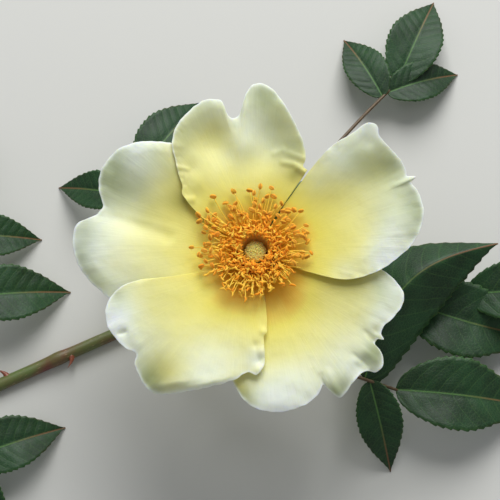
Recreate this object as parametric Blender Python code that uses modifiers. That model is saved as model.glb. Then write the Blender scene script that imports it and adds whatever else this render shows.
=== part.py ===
"""A cut flowering shoot of a single rose: one five-petalled bloom on a short stalk,
a leafy stem that lies on the floor, and the compound leaves that prop it up.

Lengths in the tables are millimetres and angles are degrees, counted counter-clockwise
from +X round the bloom's upright axis. The bloom faces +Z.
"""

import math
import random

import bmesh
import bpy
from mathutils import Matrix, Vector

MM = 0.001
GAP = 0.35                  # clearance between neighbouring pieces

# Where the bloom's axis stands in the part's frame, and how high its base plane is.
FLOWER_AXIS = (21.8, -6.65)
FLOWER_BASE = 44.0

# Bloom
CLAW_REACH = 6.5            # the petals' narrow feet start here
CLAW_HALF_SPAN = 31.0
PETAL_THICKNESS = 0.5
PETAL_ROWS = 5
MARGIN_STEPS = 2
FAN_EASE = 0.15             # share of the reach in which a petal fans out from its claw
FULL_REACH = 46.0           # reach where folds come to their full rise
UPPER_LEVEL = 1.2           # petals that lie over their neighbours
CURL_START = 24.0           # reach where the rolled margins begin, and the run to their full roll
CURL_FULL = 12.0
CURL_POWER = 1.6            # how much of a roll is kept for its very edge

HIP_RIM_RADIUS = 6.9
HIP_RIM_TOP = 1.5
HIP_DEPTH = 10.3
HIP_CLEARANCE = 0.45        # from the hip's foot down to the stalk's end
SEPAL_LENGTH = 22.0
SEPAL_WIDTH = 6.0
SEPAL_THICKNESS = 0.8
SEPAL_LEVEL = 0.6
SEPAL_DROP = 5.0            # how far a sepal's tip hangs below its foot
SEPAL_TIP = 0.5             # half the width of its blunt tip
SEPAL_ANGLES = (60, 132, 204, 276, 348)

DISC_INNER = 3.6
DISC_OUTER = 6.0
DISC_BOTTOM = 1.9
DISC_TOP = 5.0
STAMEN_COUNT = 68
STAMEN_INNER_REACH = 7.2
STAMEN_OUTER_REACH = 17.6
STAMEN_INNER_HEIGHT = 7.6
STAMEN_OUTER_HEIGHT = 10.6
STAMEN_SINK = 0.3           # how far a filament's foot is sunk in the disc
FILAMENT_RADIUS = 0.24
ANTHER_LENGTH = 1.7
ANTHER_WIDTH = 1.1
STYLE_HEAD_RADIUS = 3.3
STYLE_HEAD_TOP = 8.9

# Stem and leaves
STEM_RADIUS_CUT = 2.3
STEM_RADIUS_TOP = 1.2
STALK_RADIUS_TOP = 1.6
CANE_SIDES_RESOLUTION = 2
BEND_HEIGHT = 6.0           # where the lying stem gives way to the upright stalk
PRICKLE_LENGTH = 4.2
PRICKLE_RADIUS = 1.0
PRICKLE_SEAT = 0.6          # from the stem's axis to a prickle's base
PRICKLE_SWEEP = 0.45        # backward lean towards the cut end
RACHIS_RADIUS = 0.75
RACHIS_TAPER = (1.25, 0.7)  # shares of that radius at the rachis's foot and tip
PETIOLE_CLEARANCE = 0.55    # from the stem's nominal radius to the petiole's flat foot
PETIOLE_STUB = 2.5          # straight first run of a leaf's stalk, square to the stem
PETIOLE_SPREAD = 0.75       # its direction: so much aside for so much upwards
PETIOLE_LIFT = 0.66
LEAFLET_THICKNESS = 0.5
LEAFLET_ROWS = 6
LEAFLET_ROOT = 0.3          # how far a blade's foot runs on past the rachis's axis
LEAFLET_WIDTH_SHARE = 0.54
LEAFLET_TIP = 0.45          # half the width of its blunt tip and foot
LEAFLET_ARCH_SHARE = 0.10
LEAFLET_FOLD = 0.16         # rise of each half blade from the midrib, per millimetre
GOLDEN_ANGLE = math.pi * (3 - math.sqrt(5))


class Petal:
    """One petal: its margin from the clockwise side round to the other, and its relief.

    margin: (angle, reach) of the points that give its lobes and notches.
    folds: (angle, width, start reach, rise at the margin) of ridges and valleys.
    dents: (angle, reach, radius, rise) of round hollows or bumps.
    curls: (angle, width, depth from the margin, drop) of stretches that roll down.
    """

    def __init__(self, name, colour, level, cup, crest, margin, folds, dents, curls):
        self.name = name
        self.colour = colour
        self.level = level
        self.cup = cup
        self.crest = crest
        self.margin = margin
        self.folds = folds
        self.dents = dents
        self.curls = curls
        self.centre = (margin[0][0] + margin[-1][0]) / 2

    def height(self, angle, reach, inset):
        """Height over the base plane of a point that lies inset from the margin."""
        rise = self.level + self.cup * reach * (1 - reach / (2 * self.crest))
        for place, width, start, top in self.folds:
            along = smooth((reach - start) / (FULL_REACH - start))
            rise += top * along * bell(angle - place, width)
        for place, out, size, top in self.dents:
            chord = (polar(angle, reach) - polar(place, out)).length
            rise += top * bell(chord, size)
        for place, width, depth, drop in self.curls:
            roll = drop * max(0.0, 1 - inset / depth) ** CURL_POWER * bell(angle - place, width)
            rise -= roll * smooth((reach - CURL_START) / CURL_FULL)
        return rise


def polar(angle, reach):
    return Vector((math.cos(math.radians(angle)), math.sin(math.radians(angle)))) * reach


def smooth(share):
    share = min(1.0, max(0.0, share))
    return share * share * (3 - 2 * share)


def bell(distance, width):
    return math.exp(-(distance / width) ** 2)


def angle_near(vector, centre):
    """The vector's angle in degrees, taken within half a turn of the centre angle."""
    angle = math.degrees(math.atan2(vector.y, vector.x))
    return centre + (angle - centre + 180) % 360 - 180


PETALS = (
    Petal("petal_top", "#DEDFA0", UPPER_LEVEL, 0.45, 46,
          margin=((61, 16.5), (59.5, 28.5), (64, 34), (71, 39.5), (78, 45), (84, 49.5), (88, 51.3),
                  (92, 49.8), (95, 45.5), (96.5, 41.5), (99, 40.6), (102, 43.5), (104.5, 47.3),
                  (112, 48.4), (120, 45.6), (127, 40.8), (134, 34.2), (141, 28), (145, 19)),
          folds=((99, 7, 12, 1.6),),
          dents=((84, 36, 9, -1.5), (114, 34, 9, -1.5)),
          curls=((100, 60, 4, 1.4),)),
    Petal("petal_right", "#E3E3A8", UPPER_LEVEL, 0.42, 42,
          margin=((-23, 16), (-20.5, 26), (-17, 31), (-9, 38), (2, 45.4), (8, 49.6), (14, 51.7),
                  (24, 52.3), (29, 51), (36, 50.8), (43, 51.3), (47, 53.3), (50, 50.5), (53, 44.5),
                  (56.5, 34), (58.5, 17)),
          folds=((33, 9, 28, -1.0),),
          dents=((41, 45, 7, -2.0), (49, 51, 5, 1.8)),
          curls=((6, 18, 10, 4.0), (24, 8, 5, 1.5))),
    Petal("petal_lower_right", "#E6E2A0", 0.0, 0.38, 38,
          margin=((-99, 24), (-103, 34), (-98, 40.2), (-91, 46.2), (-85, 48.6), (-75, 48.6),
                  (-68, 46.8), (-64, 47.2), (-60.5, 50.6), (-57, 49.6), (-52.5, 47.9), (-48, 48.7),
                  (-43, 50.4), (-39.5, 46), (-34, 44.6), (-24, 45.9), (-17, 45.6), (-9, 38.5),
                  (-4, 30), (-3, 20)),
          folds=((-38, 5, 24, -2.2), (-48, 4, 34, -1.6), (-64, 4, 34, -1.8), (-54, 4, 36, 1.4)),
          dents=(),
          curls=((-84, 16, 13, 6.5), (-43, 8, 6, 2.5), (-60, 8, 6, 2.0), (-20, 12, 6, 1.5))),
    Petal("petal_lower_left", "#E9E6B2", UPPER_LEVEL, 0.42, 38,
          margin=((-157, 17), (-160, 26), (-164.5, 35), (-164, 40), (-161, 44.6), (-156, 48.3),
                  (-148, 49.3), (-140.5, 47.8), (-137, 46.9), (-134, 50), (-126.5, 52), (-122, 50.6),
                  (-116, 46.8), (-107, 42), (-97, 38), (-89.5, 37.2), (-86, 33), (-86.5, 27.5),
                  (-83, 24.5), (-79, 15)),
          folds=((-104, 8, 26, 1.2),),
          dents=((-147, 45, 4, -1.4), (-89, 32, 5, 1.0)),
          curls=((-147, 13, 12, 5.0), (-115, 14, 7, 4.5), (-134, 8, 4, 1.5))),
    Petal("petal_left", "#E2E2AE", 0.0, 0.40, 42,
          margin=((116, 20), (117, 30), (121, 38), (127, 41.6), (132, 44.8), (138, 49.7),
                  (143, 52.1), (150, 52.4), (157, 50.5), (162, 48.3), (165, 47.2), (168.5, 49.6),
                  (171.5, 53.6), (177, 54.2), (184, 53.2), (191, 49.8), (197, 46.5), (205, 41),
                  (212, 32), (214, 20)),
          folds=((165, 9, 14, -2.4), (209, 13, 20, -4.5)),
          dents=((150, 38, 9, 0.8),),
          curls=((140, 14, 6, 2.4), (184, 18, 5, 2.0))),
)

# The cane from its flat cut to the hip: plan position and height of its centre line.
CANE_PATH = ((-150, -60, 2.3), (-115, -46, 2.1), (-81, -31, 1.9), (-46, -15, 1.7), (-25, -6, 2.2),
             (-12, -2, 6.5), (-3, -0.5, 16), (0, 0, 26), (0, 0, FLOWER_BASE - HIP_DEPTH - HIP_CLEARANCE))
PRICKLES = ((0.10, 70), (0.24, -60), (0.37, 40), (0.52, -75), (0.66, 65))

# Each compound leaf: its node as (share of the stem, side of it), its rachis from there
# as (x, y, height), and its leaflets as (share of the rachis, turn from it, length,
# height of the tip, sideways bow as a share of the length).
REST = 0.3                  # height of the tip of a leaflet that rests on the floor
LEAVES = {
    "leaf_right_front": dict(
        node=(0.875, -1), rachis=((-10, -17, 11), (14, -25, 15), (34, -32, 16), (46, -35, 11)),
        leaflets=((0.40, -62, 19, 5.0, 0), (0.84, 61, 60, 20.0, 0.11), (0.86, -60, 27, REST, 0),
                  (0.97, 9, 44, REST, 0))),
    "leaf_right_back": dict(
        node=(0.94, -1), rachis=((0, -6.5, 9), (26, -5, 9), (48, -4, 7), (70, -2.5, 7)),
        leaflets=((0.40, 58, 21, 2.0, 0), (0.72, 46, 32, 2.0, 0), (0.74, -17, 46, REST, -0.05),
                  (0.97, -4, 40, 9.0, 0))),
    "leaf_upper_right": dict(
        node=(0.95, 1), rachis=((-2, 12, 13), (20, 38, 13), (36, 57, 10), (49, 71, 7)),
        leaflets=((0.38, 58, 22, 4.0, 0), (0.40, -58, 20, 8.0, 0), (0.90, 70, 26, REST, 0),
                  (0.92, -26, 26, REST, 0), (0.97, 20, 34, REST, 0))),
    "leaf_upper_left": dict(
        node=(0.80, 1), rachis=((-42, 8, 12), (-41, 25, 13), (-37, 38, 10)),
        leaflets=((0.46, -60, 24, 3.0, 0), (0.80, 90, 25, REST, 0), (0.82, -50, 26, 1.0, 0),
                  (0.97, -16, 34, REST, 0))),
    "leaf_left": dict(
        node=(0.47, 1), rachis=((-92, -18, 11), (-95, 2, 12), (-97, 24, 8)),
        leaflets=((0.48, 66, 34, REST, 0), (0.50, -88, 35, REST, 0), (0.84, 60, 34, REST, 0),
                  (0.86, -92, 27, REST, 0), (0.97, -8, 36, REST, 0))),
    "leaf_lower_left": dict(
        node=(0.22, -1), rachis=((-108, -57, 9), (-97, -58, 9), (-90, -56, 7)),
        leaflets=((0.40, 72, 16, 1.0, 0), (0.44, -72, 30, 1.0, 0), (0.80, 66, 14, 1.0, 0),
                  (0.84, -60, 28, REST, 0), (0.97, 2, 33, REST, 0))),
}


def linear(hex_colour):
    """Linear RGBA of an sRGB hex colour."""
    channels = [int(hex_colour[i:i + 2], 16) / 255 for i in (1, 3, 5)]
    return [c / 12.92 if c <= 0.04045 else ((c + 0.055) / 1.055) ** 2.4 for c in channels] + [1.0]


def material(name, hex_colour, roughness):
    mat = bpy.data.materials.new(name)
    mat.use_nodes = True
    shader = mat.node_tree.nodes["Principled BSDF"]
    shader.inputs["Base Color"].default_value = linear(hex_colour)
    shader.inputs["Roughness"].default_value = roughness
    shader.inputs["Metallic"].default_value = 0.0
    return mat


def place(obj, collection, mat=None):
    """Put an object in a collection, hang it from the shoot's empty and give it its material."""
    collection.objects.link(obj)
    obj.parent = bpy.data.objects.get("rose_shoot")
    if mat:
        obj.data.materials.append(mat)
    return obj


def object_from(bm, name, collection, mat=None):
    mesh = bpy.data.meshes.new(name)
    bm.to_mesh(mesh)
    bm.free()
    mesh.shade_smooth()
    return place(bpy.data.objects.new(name, mesh), collection, mat)


def spline(points, steps):
    """Points of a centripetal Catmull-Rom curve, with so many steps between given points."""
    given = [Vector(p) for p in points]
    given = [2 * given[0] - given[1]] + given + [2 * given[-1] - given[-2]]
    curve = []
    for a, b, c, d in zip(given, given[1:], given[2:], given[3:]):
        t1 = math.sqrt((b - a).length)
        t2 = t1 + math.sqrt((c - b).length)
        t3 = t2 + math.sqrt((d - c).length)
        for step in range(steps):
            t = t1 + (t2 - t1) * step / steps
            ab = a.lerp(b, t / t1)
            bc = b.lerp(c, (t - t1) / (t2 - t1))
            cd = c.lerp(d, (t - t2) / (t3 - t2))
            abc = ab.lerp(bc, t / t2)
            bcd = bc.lerp(cd, (t - t1) / (t3 - t1))
            curve.append(abc.lerp(bcd, (t - t1) / (t2 - t1)))
    curve.append(given[-2])
    return curve


def along(points, share):
    """Point and direction at a share of a polyline's length."""
    runs = [(b - a).length for a, b in zip(points, points[1:])]
    left = share * sum(runs)
    for a, b, run in zip(points, points[1:], runs):
        if left <= run:
            break
        left -= run
    return a.lerp(b, min(1.0, left / run)), (b - a).normalized()


def solid_from_sheet(bm, name, collection, thickness, mat=None):
    """Thicken an open sheet, half to each side, and keep the result as its mesh."""
    bmesh.ops.recalc_face_normals(bm, faces=bm.faces)
    obj = object_from(bm, name, collection, mat)
    solidify = obj.modifiers.new("Thickness", "SOLIDIFY")
    solidify.thickness = thickness * MM
    solidify.offset = 0.0
    return obj


def tube(points, radii, name, collection, mat=None, resolution=2):
    """A round bar along the points as a closed mesh."""
    curve = bpy.data.curves.new(name, "CURVE")
    curve.dimensions = "3D"
    curve.bevel_depth = MM
    curve.bevel_resolution = resolution
    curve.use_fill_caps = True
    line = curve.splines.new("POLY")
    line.points.add(len(points) - 1)
    for point, position, radius in zip(line.points, points, radii):
        point.co = (*(position * MM), 1.0)
        point.radius = radius
    guide = place(bpy.data.objects.new(name, curve), collection)
    bpy.context.view_layer.update()
    evaluated = guide.evaluated_get(bpy.context.evaluated_depsgraph_get())
    mesh = bpy.data.meshes.new_from_object(evaluated)
    frame = guide.matrix_world.copy()
    bpy.data.objects.remove(guide)
    bm = bmesh.new()
    bm.from_mesh(mesh)
    bmesh.ops.remove_doubles(bm, verts=bm.verts, dist=0.01 * MM)
    bmesh.ops.recalc_face_normals(bm, faces=bm.faces)
    bm.to_mesh(mesh)
    bm.free()
    mesh.name = name
    mesh.shade_smooth()
    bar = place(bpy.data.objects.new(name, mesh), collection, mat)
    bar.matrix_world = frame
    return bar


def fuse(core, pieces):
    """Join the pieces of a collection to a core by one union, and remove them."""
    union = core.modifiers.new("Union", "BOOLEAN")
    union.operation = "UNION"
    union.solver = "MANIFOLD"
    union.operand_type = "COLLECTION"
    union.collection = pieces
    evaluated = core.evaluated_get(bpy.context.evaluated_depsgraph_get())
    mesh = bpy.data.meshes.new_from_object(evaluated)
    core.modifiers.clear()
    core.data = mesh
    mesh.shade_smooth()
    for piece in list(pieces.objects):
        bpy.data.objects.remove(piece)
    bpy.data.collections.remove(pieces)
    return core


def new_collection(name):
    collection = bpy.data.collections.new(name)
    bpy.context.scene.collection.children.link(collection)
    return collection


def make_petal(petal, shoot):
    """A fan of cells from the claw to the margin, thickened."""
    margin = spline([polar(*point) for point in petal.margin], MARGIN_STEPS)
    columns = len(margin) - 1
    bm = bmesh.new()
    bmesh.ops.create_grid(bm, x_segments=columns, y_segments=PETAL_ROWS, size=0.5)
    for vert in bm.verts:
        column = round((vert.co.x + 0.5) * columns)
        share = vert.co.y + 0.5
        edge = margin[column]
        foot = petal.centre + CLAW_HALF_SPAN * (2 * column / columns - 1)
        spread = (1 + FAN_EASE) * share / (share + FAN_EASE)
        angle = foot + (angle_near(edge, petal.centre) - foot) * spread
        reach = CLAW_REACH + (edge.length - CLAW_REACH) * share
        flat = polar(angle, reach)
        inset = edge.length - reach
        vert.co = Vector((flat.x, flat.y, petal.height(angle, reach, inset))) * MM
    mat = material(petal.name + "_tissue", petal.colour, 0.55)
    obj = solid_from_sheet(bm, petal.name, shoot, PETAL_THICKNESS, mat)
    obj.location = (0, 0, FLOWER_BASE * MM)


def turned(name, profile, steps, collection, mat=None, ring=False):
    """A solid turned round Z from a profile that runs down its outer side, or all round a ring."""
    bm = bmesh.new()
    verts = [bm.verts.new((radius * MM, 0, height * MM)) for radius, height in profile]
    ends = verts[1:] + verts[:1] if ring else verts[1:]
    for a, b in zip(verts, ends):
        bm.edges.new((a, b))
    obj = object_from(bm, name, collection, mat)
    screw = obj.modifiers.new("Turn", "SCREW")
    screw.steps = steps
    screw.render_steps = steps
    screw.use_merge_vertices = True
    screw.merge_threshold = 0.0001
    screw.use_normal_calculate = not ring
    return obj


def make_hip(shoot):
    profile = ((0, HIP_RIM_TOP), (HIP_RIM_RADIUS, HIP_RIM_TOP), (HIP_RIM_RADIUS, 0.6), (5.2, -0.8),
               (5.5, -3.2), (4.9, -6.0), (3.2, -8.6), (1.7, -HIP_DEPTH), (0, -HIP_DEPTH))
    hip = turned("hip", profile, 20, shoot, material("hip_skin", "#4F6B33", 0.45))
    hip.location = (0, 0, FLOWER_BASE * MM)


def make_sepals(shoot):
    """Five narrow blades that spread under the petals from the hip's rim."""
    mat = material("sepal_skin", "#5B7439", 0.6)
    foot = HIP_RIM_RADIUS + GAP
    for number, angle in enumerate(SEPAL_ANGLES, 1):
        bm = bmesh.new()
        bmesh.ops.create_grid(bm, x_segments=6, y_segments=2, size=0.5)
        for vert in bm.verts:
            share = vert.co.x + 0.5
            side = vert.co.y * 2
            half = SEPAL_WIDTH / 2 * (1 - share) ** 0.7 * (1 + 0.5 * share) + SEPAL_TIP
            height = SEPAL_LEVEL - SEPAL_DROP * share ** 2 + 0.25 * abs(side)
            vert.co = Vector((foot + SEPAL_LENGTH * share, side * half, height)) * MM
        sepal = solid_from_sheet(bm, f"sepal_{number}", shoot, SEPAL_THICKNESS, mat)
        sepal.location = (0, 0, FLOWER_BASE * MM)
        sepal.rotation_euler = (0, 0, math.radians(angle))


def make_stamens(shoot):
    """A raised disc that carries a spiral of filaments, each with its anther, fused to it."""
    rng = random.Random(7)
    profile = ((DISC_OUTER, DISC_TOP), (DISC_OUTER, DISC_BOTTOM), (DISC_INNER, DISC_BOTTOM),
               (DISC_INNER, DISC_TOP - 0.5), (DISC_INNER + 0.4, DISC_TOP))
    gold = material("stamen_gold", "#D98C2B", 0.6)
    disc = turned("stamens", profile, 24, shoot, gold, ring=True)
    disc.location = (0, 0, FLOWER_BASE * MM)
    parts = new_collection("stamen_parts")
    for number in range(STAMEN_COUNT):
        share = (number + 0.5) / STAMEN_COUNT
        turn = number * GOLDEN_ANGLE
        spoke = Vector((math.cos(turn), math.sin(turn), 0))
        rise = share ** 0.75
        foot = spoke * (DISC_INNER + 0.6 + (DISC_OUTER - DISC_INNER - 1.0) * share)
        foot.z = DISC_TOP - STAMEN_SINK
        reach = STAMEN_INNER_REACH + (STAMEN_OUTER_REACH - STAMEN_INNER_REACH) * rise
        tip = spoke * (reach + rng.uniform(-0.8, 0.4))
        tip.z = STAMEN_INNER_HEIGHT + (STAMEN_OUTER_HEIGHT - STAMEN_INNER_HEIGHT) * rise
        tip.z += rng.uniform(-0.3, 0.9)
        way = (tip - foot).normalized()
        aim = way.to_track_quat("Z", "Y").to_matrix().to_4x4()
        bm = bmesh.new()
        bmesh.ops.create_cone(bm, cap_ends=True, segments=3, radius1=FILAMENT_RADIUS * MM,
                              radius2=FILAMENT_RADIUS * 0.7 * MM, depth=(tip - foot).length * MM,
                              matrix=Matrix.Translation((foot + tip) / 2 * MM) @ aim)
        object_from(bm, "filament", parts).location = disc.location
        bm = bmesh.new()
        bmesh.ops.create_icosphere(bm, subdivisions=1, radius=0.5 * MM)
        stretch = Matrix.Diagonal((ANTHER_LENGTH, ANTHER_WIDTH, ANTHER_WIDTH, 1))
        roll = Matrix.Rotation(turn + rng.uniform(-0.8, 0.8), 4, "Z")
        bmesh.ops.transform(bm, verts=bm.verts, matrix=Matrix.Translation(tip * MM) @ roll @ stretch)
        object_from(bm, "anther", parts).location = disc.location
    fuse(disc, parts)


def make_styles(shoot):
    neck = STYLE_HEAD_RADIUS * 0.66
    profile = ((0, STYLE_HEAD_TOP), (1.4, STYLE_HEAD_TOP - 0.2), (2.7, STYLE_HEAD_TOP - 0.9),
               (STYLE_HEAD_RADIUS, STYLE_HEAD_TOP - 1.9), (STYLE_HEAD_RADIUS - 0.2, STYLE_HEAD_TOP - 2.9),
               (neck, STYLE_HEAD_TOP - 4.2), (neck, HIP_RIM_TOP + GAP), (0, HIP_RIM_TOP + GAP))
    styles = turned("styles", profile, 14, shoot, material("style_green", "#BDB565", 0.7))
    styles.location = (0, 0, FLOWER_BASE * MM)


def cane_line():
    """Centre line and radii of the whole cane, and the index where its stalk bends up."""
    path = spline(CANE_PATH, 3)
    last = len(path) - 1
    radii = [STEM_RADIUS_CUT + (STEM_RADIUS_TOP - STEM_RADIUS_CUT) * i / last for i in range(last + 1)]
    for point, radius in zip(path, radii):
        point.z = max(point.z, radius)
    split = next(i for i, point in enumerate(path) if point.z > BEND_HEIGHT)
    return path, radii, split


def make_cane(shoot):
    """The lying stem with its prickles, and the stalk that bends up to the bloom."""
    path, radii, split = cane_line()
    middle = (path[split] + path[split + 1]) / 2
    back_off = (path[split + 1] - path[split]).normalized() * GAP / 2
    stem = tube(path[:split + 1] + [middle - back_off], radii[:split + 2], "stem", shoot,
                material("stem_bark", "#6A3B33", 0.5), CANE_SIDES_RESOLUTION)
    flare = radii[split + 1:-1] + [radii[-1], STALK_RADIUS_TOP]
    tube([middle + back_off] + path[split + 1:], flare, "flower_stalk", shoot,
         material("stalk_skin", "#5E6B3A", 0.5), CANE_SIDES_RESOLUTION)
    parts = new_collection("prickles")
    for share, turn in PRICKLES:
        foot, way = along(path[:split + 1], share)
        side = way.cross(Vector((0, 0, 1))).normalized()
        out = side * math.sin(math.radians(turn))
        out.z += math.cos(math.radians(turn))
        lean = (out - way * PRICKLE_SWEEP).normalized()
        aim = lean.to_track_quat("Z", "Y").to_matrix().to_4x4()
        middle = foot + lean * (PRICKLE_LENGTH / 2 + PRICKLE_SEAT)
        bm = bmesh.new()
        bmesh.ops.create_cone(bm, cap_ends=True, segments=6, radius1=PRICKLE_RADIUS * MM,
                              radius2=0.12 * MM, depth=PRICKLE_LENGTH * MM,
                              matrix=Matrix.Translation(middle * MM) @ aim)
        object_from(bm, "prickle", parts)
    fuse(stem, parts)


def add_leaflet(foot, heading, length, tip_height, bow, parts):
    """A folded blade from a foot sunk in the rachis to its tip, arched upwards and bowed aside."""
    ahead = Vector((math.cos(heading), math.sin(heading), 0))
    tip = foot + ahead * length
    foot = foot - ahead * LEAFLET_ROOT
    tip.z = tip_height
    across = Vector((-math.sin(heading), math.cos(heading), 0))
    half_width = LEAFLET_WIDTH_SHARE * length / 2
    bm = bmesh.new()
    bmesh.ops.create_grid(bm, x_segments=LEAFLET_ROWS, y_segments=2, size=0.5)
    for vert in bm.verts:
        share = vert.co.x + 0.5
        side = round(vert.co.y * 2)
        half = max(LEAFLET_TIP, half_width * math.sin(math.pi * share ** 0.9) ** 0.8)
        centre = foot.lerp(tip, share)
        centre += across * bow * length * math.sin(math.pi * share)
        centre.z += LEAFLET_ARCH_SHARE * length * math.sin(math.pi * share)
        point = centre + across * side * half
        point.z += abs(side) * half * LEAFLET_FOLD
        vert.co = point * MM
    solid_from_sheet(bm, "leaflet", parts, LEAFLET_THICKNESS)


def make_leaf(name, spec, shoot):
    """A rachis that leaves the stem square to it, with its leaflets fused on."""
    path, stem_radii, split = cane_line()
    share, side = spec["node"]
    node, way = along(path[:split + 1], share)
    aside = Vector((-way.y, way.x, 0)).normalized() * side
    out = (aside * PETIOLE_SPREAD + way.cross(aside) * side * PETIOLE_LIFT).normalized()
    stem_radius = STEM_RADIUS_CUT + (stem_radii[split] - STEM_RADIUS_CUT) * share
    foot = node + out * (stem_radius + PETIOLE_CLEARANCE)
    rachis = spline([foot, foot + out * PETIOLE_STUB] + [Vector(p) for p in spec["rachis"]], 2)
    last = len(rachis) - 1
    thick, thin = RACHIS_TAPER
    radii = [RACHIS_RADIUS * (thick + (thin - thick) * i / last) for i in range(last + 1)]
    core = tube(rachis, radii, name, shoot, material(name + "_blade", "#1F3A22", 0.35), 1)
    parts = new_collection(name + "_parts")
    for share, turn, length, tip_height, bow in spec["leaflets"]:
        foot, way = along(rachis, share)
        heading = math.atan2(way.y, way.x) + math.radians(turn)
        add_leaflet(foot, heading, length, tip_height, bow, parts)
    fuse(core, parts)


def main():
    for obj in list(bpy.data.objects):
        bpy.data.objects.remove(obj)
    shoot = new_collection("rose_shoot")
    root = bpy.data.objects.new("rose_shoot", None)
    shoot.objects.link(root)
    root.location = (FLOWER_AXIS[0] * MM, FLOWER_AXIS[1] * MM, 0)
    make_cane(shoot)
    make_hip(shoot)
    make_sepals(shoot)
    for petal in PETALS:
        make_petal(petal, shoot)
    make_stamens(shoot)
    make_styles(shoot)
    for name, spec in LEAVES.items():
        make_leaf(name, spec, shoot)


main()
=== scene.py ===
"""The looks of a cut rose shoot: a five-petalled bloom, its stem and its compound leaves.

Points in the tables are in the bloom's own frame: millimetres from the point on its axis
that is level with the petals' feet, and degrees counter-clockwise from +X. The bloom faces +Z.
"""

import math
import random

import bmesh
import bpy
from bpy.props import FloatProperty, FloatVectorProperty, IntProperty, PointerProperty
from mathutils import Matrix, Vector, noise


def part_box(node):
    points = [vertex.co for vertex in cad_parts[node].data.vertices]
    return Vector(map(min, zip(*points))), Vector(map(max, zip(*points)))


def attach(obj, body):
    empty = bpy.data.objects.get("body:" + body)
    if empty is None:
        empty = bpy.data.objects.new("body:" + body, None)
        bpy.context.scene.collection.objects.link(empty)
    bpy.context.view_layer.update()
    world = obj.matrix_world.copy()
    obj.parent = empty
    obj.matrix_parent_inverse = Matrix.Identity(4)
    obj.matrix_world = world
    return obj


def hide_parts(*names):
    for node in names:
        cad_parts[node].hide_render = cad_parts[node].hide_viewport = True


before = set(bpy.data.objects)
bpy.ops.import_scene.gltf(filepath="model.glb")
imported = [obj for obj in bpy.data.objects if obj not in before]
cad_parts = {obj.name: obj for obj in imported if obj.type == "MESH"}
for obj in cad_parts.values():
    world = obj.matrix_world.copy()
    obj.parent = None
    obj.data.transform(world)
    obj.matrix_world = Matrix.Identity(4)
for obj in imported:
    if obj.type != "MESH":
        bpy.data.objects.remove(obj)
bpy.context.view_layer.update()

bl_info = {
    "name": "Cut Rose Shoot",
    "version": (1, 0, 0),
    "blender": (4, 5, 0),
    "location": "View3D > Sidebar > Rose",
    "description": "Models a cut flowering shoot of a single rose and its studio",
    "category": "Object",
}

MM = 0.001
MERGE = 0.002 * MM          # points closer than this are one
GOLDEN_ANGLE = math.pi * (3 - math.sqrt(5))

# The bloom's frame, from the turned hip that stands on its axis.
HIP_RIM_TOP = 1.5
HIP_LOW, HIP_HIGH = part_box("hip")
FLOWER_ORIGIN = Vector(((HIP_LOW.x + HIP_HIGH.x) / 2, (HIP_LOW.y + HIP_HIGH.y) / 2,
                        HIP_HIGH.z - HIP_RIM_TOP * MM))

# Petals
CLAW_REACH = 6.5            # the petals' narrow feet start here
CLAW_HALF_SPAN = 31.0
FULL_REACH = 46.0           # reach where folds come to their full rise
FAN_EASE = 0.15             # how soon a petal's side fans out from its claw
UPPER_LEVEL = 1.2           # petals that lie over their neighbours
CREASE_ONSET = 2.5          # how soon along its length a crease comes to its full rise
CURL_START = 24.0           # reach where the rolled margins begin, and the run to their full roll
CURL_FULL = 12.0
CURL_POWER = 1.6
MARGIN_STEPS = 9
MARGIN_COLUMNS = 260
ANGLE_STEP = 0.02           # the margin never turns back on itself
PETAL_ROWS = 64
ROW_POWER = 1.35            # rows crowd towards the margin
LONGEST_REACH = 58.0        # the reach at which the petals' colour scale ends
RIM_START = 29.0            # reach where the pale margin line begins, partly a painted highlight, and the run to its full strength
RIM_FULL = 12.0
RIM_WIDTH = 0.7
RIM_STRENGTH = 0.7

# Waves in the petals: how far apart they are, then their height or how fast they fade from
# the margin inwards, and the reach where they start with the run to their full height. The
# nicks are in the margin's outline, and the crinkles start where the swells do.
NICK_SIZE, NICK_DEPTH = 2.2, 0.25
RIPPLE_SIZE, RIPPLE_FADE, RIPPLE_START, RIPPLE_FULL = 3.2, 4.5, 14, 16
SWELL_SIZE, SWELL_RISE, SWELL_START, SWELL_FULL = 11, 0.3, 12, 20
CRINKLE_SIZE, CRINKLE_RISE = 5, 0.1
PLEATS = 62                 # in a full turn
PLEAT_SWAY = 3              # how far the ripples bend them
PLEAT_PATCH = 11            # they show in patches so many degrees across
PLEAT_COVER = 0.25          # and the more of the margin has them, the higher this is
PLEAT_FADE, PLEAT_START, PLEAT_FULL = 9, 20, 15

# Stamens and styles
DISC_BOTTOM = 1.9
# The disc's section as (radius, height): its outer side, the crest that carries the
# stamens, and the funnel that goes down to the styles.
DISC_SECTION = ((6.0, DISC_BOTTOM), (6.0, 4.2), (5.7, 6.0), (5.2, 7.4), (4.85, 7.6), (4.5, 6.9),
                (4.1, 5.9), (3.75, 5.2), (3.55, 4.9), (3.45, 4.4), (3.45, DISC_BOTTOM),
                (6.0, DISC_BOTTOM))
FOOT_INNER = (5.0, 7.2)     # where the innermost and outermost filaments stand on it
FOOT_OUTER = (5.8, 5.2)
FOOT_DEPTH = 0.3            # they start inside it
PIT_RADIUS = 4.8            # inside of the innermost anthers
PIT_NARROWING = 0.5         # how much closer they come at the bottom of the bloom
PIT_SLOPE = 0.25            # share of the stamens over which the ring climbs out of the pit
PIT_DROP = 0.8
ANTHER_TOP = 10.2
ANTHER_FALL = 0.5           # how far the ring slopes down outwards, most of all at the top
ANTHER_FALL_UP = 1.7
SPREAD = 17.6               # how far the outermost anthers reach, more at the top and the left
SPREAD_UP = 2.2
SPREAD_LEFT = 1.0
SPREAD_POWER = 2.3          # the stamens crowd towards the styles, most of all at the top
SPREAD_POWER_UP = 0.6
SCATTER_OUT = 0.8           # how far an anther strays from its place in the ring
SCATTER_ASIDE = 1.3
OPEN_SHARE = 0.74           # the outer stamens' anthers have opened
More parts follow.
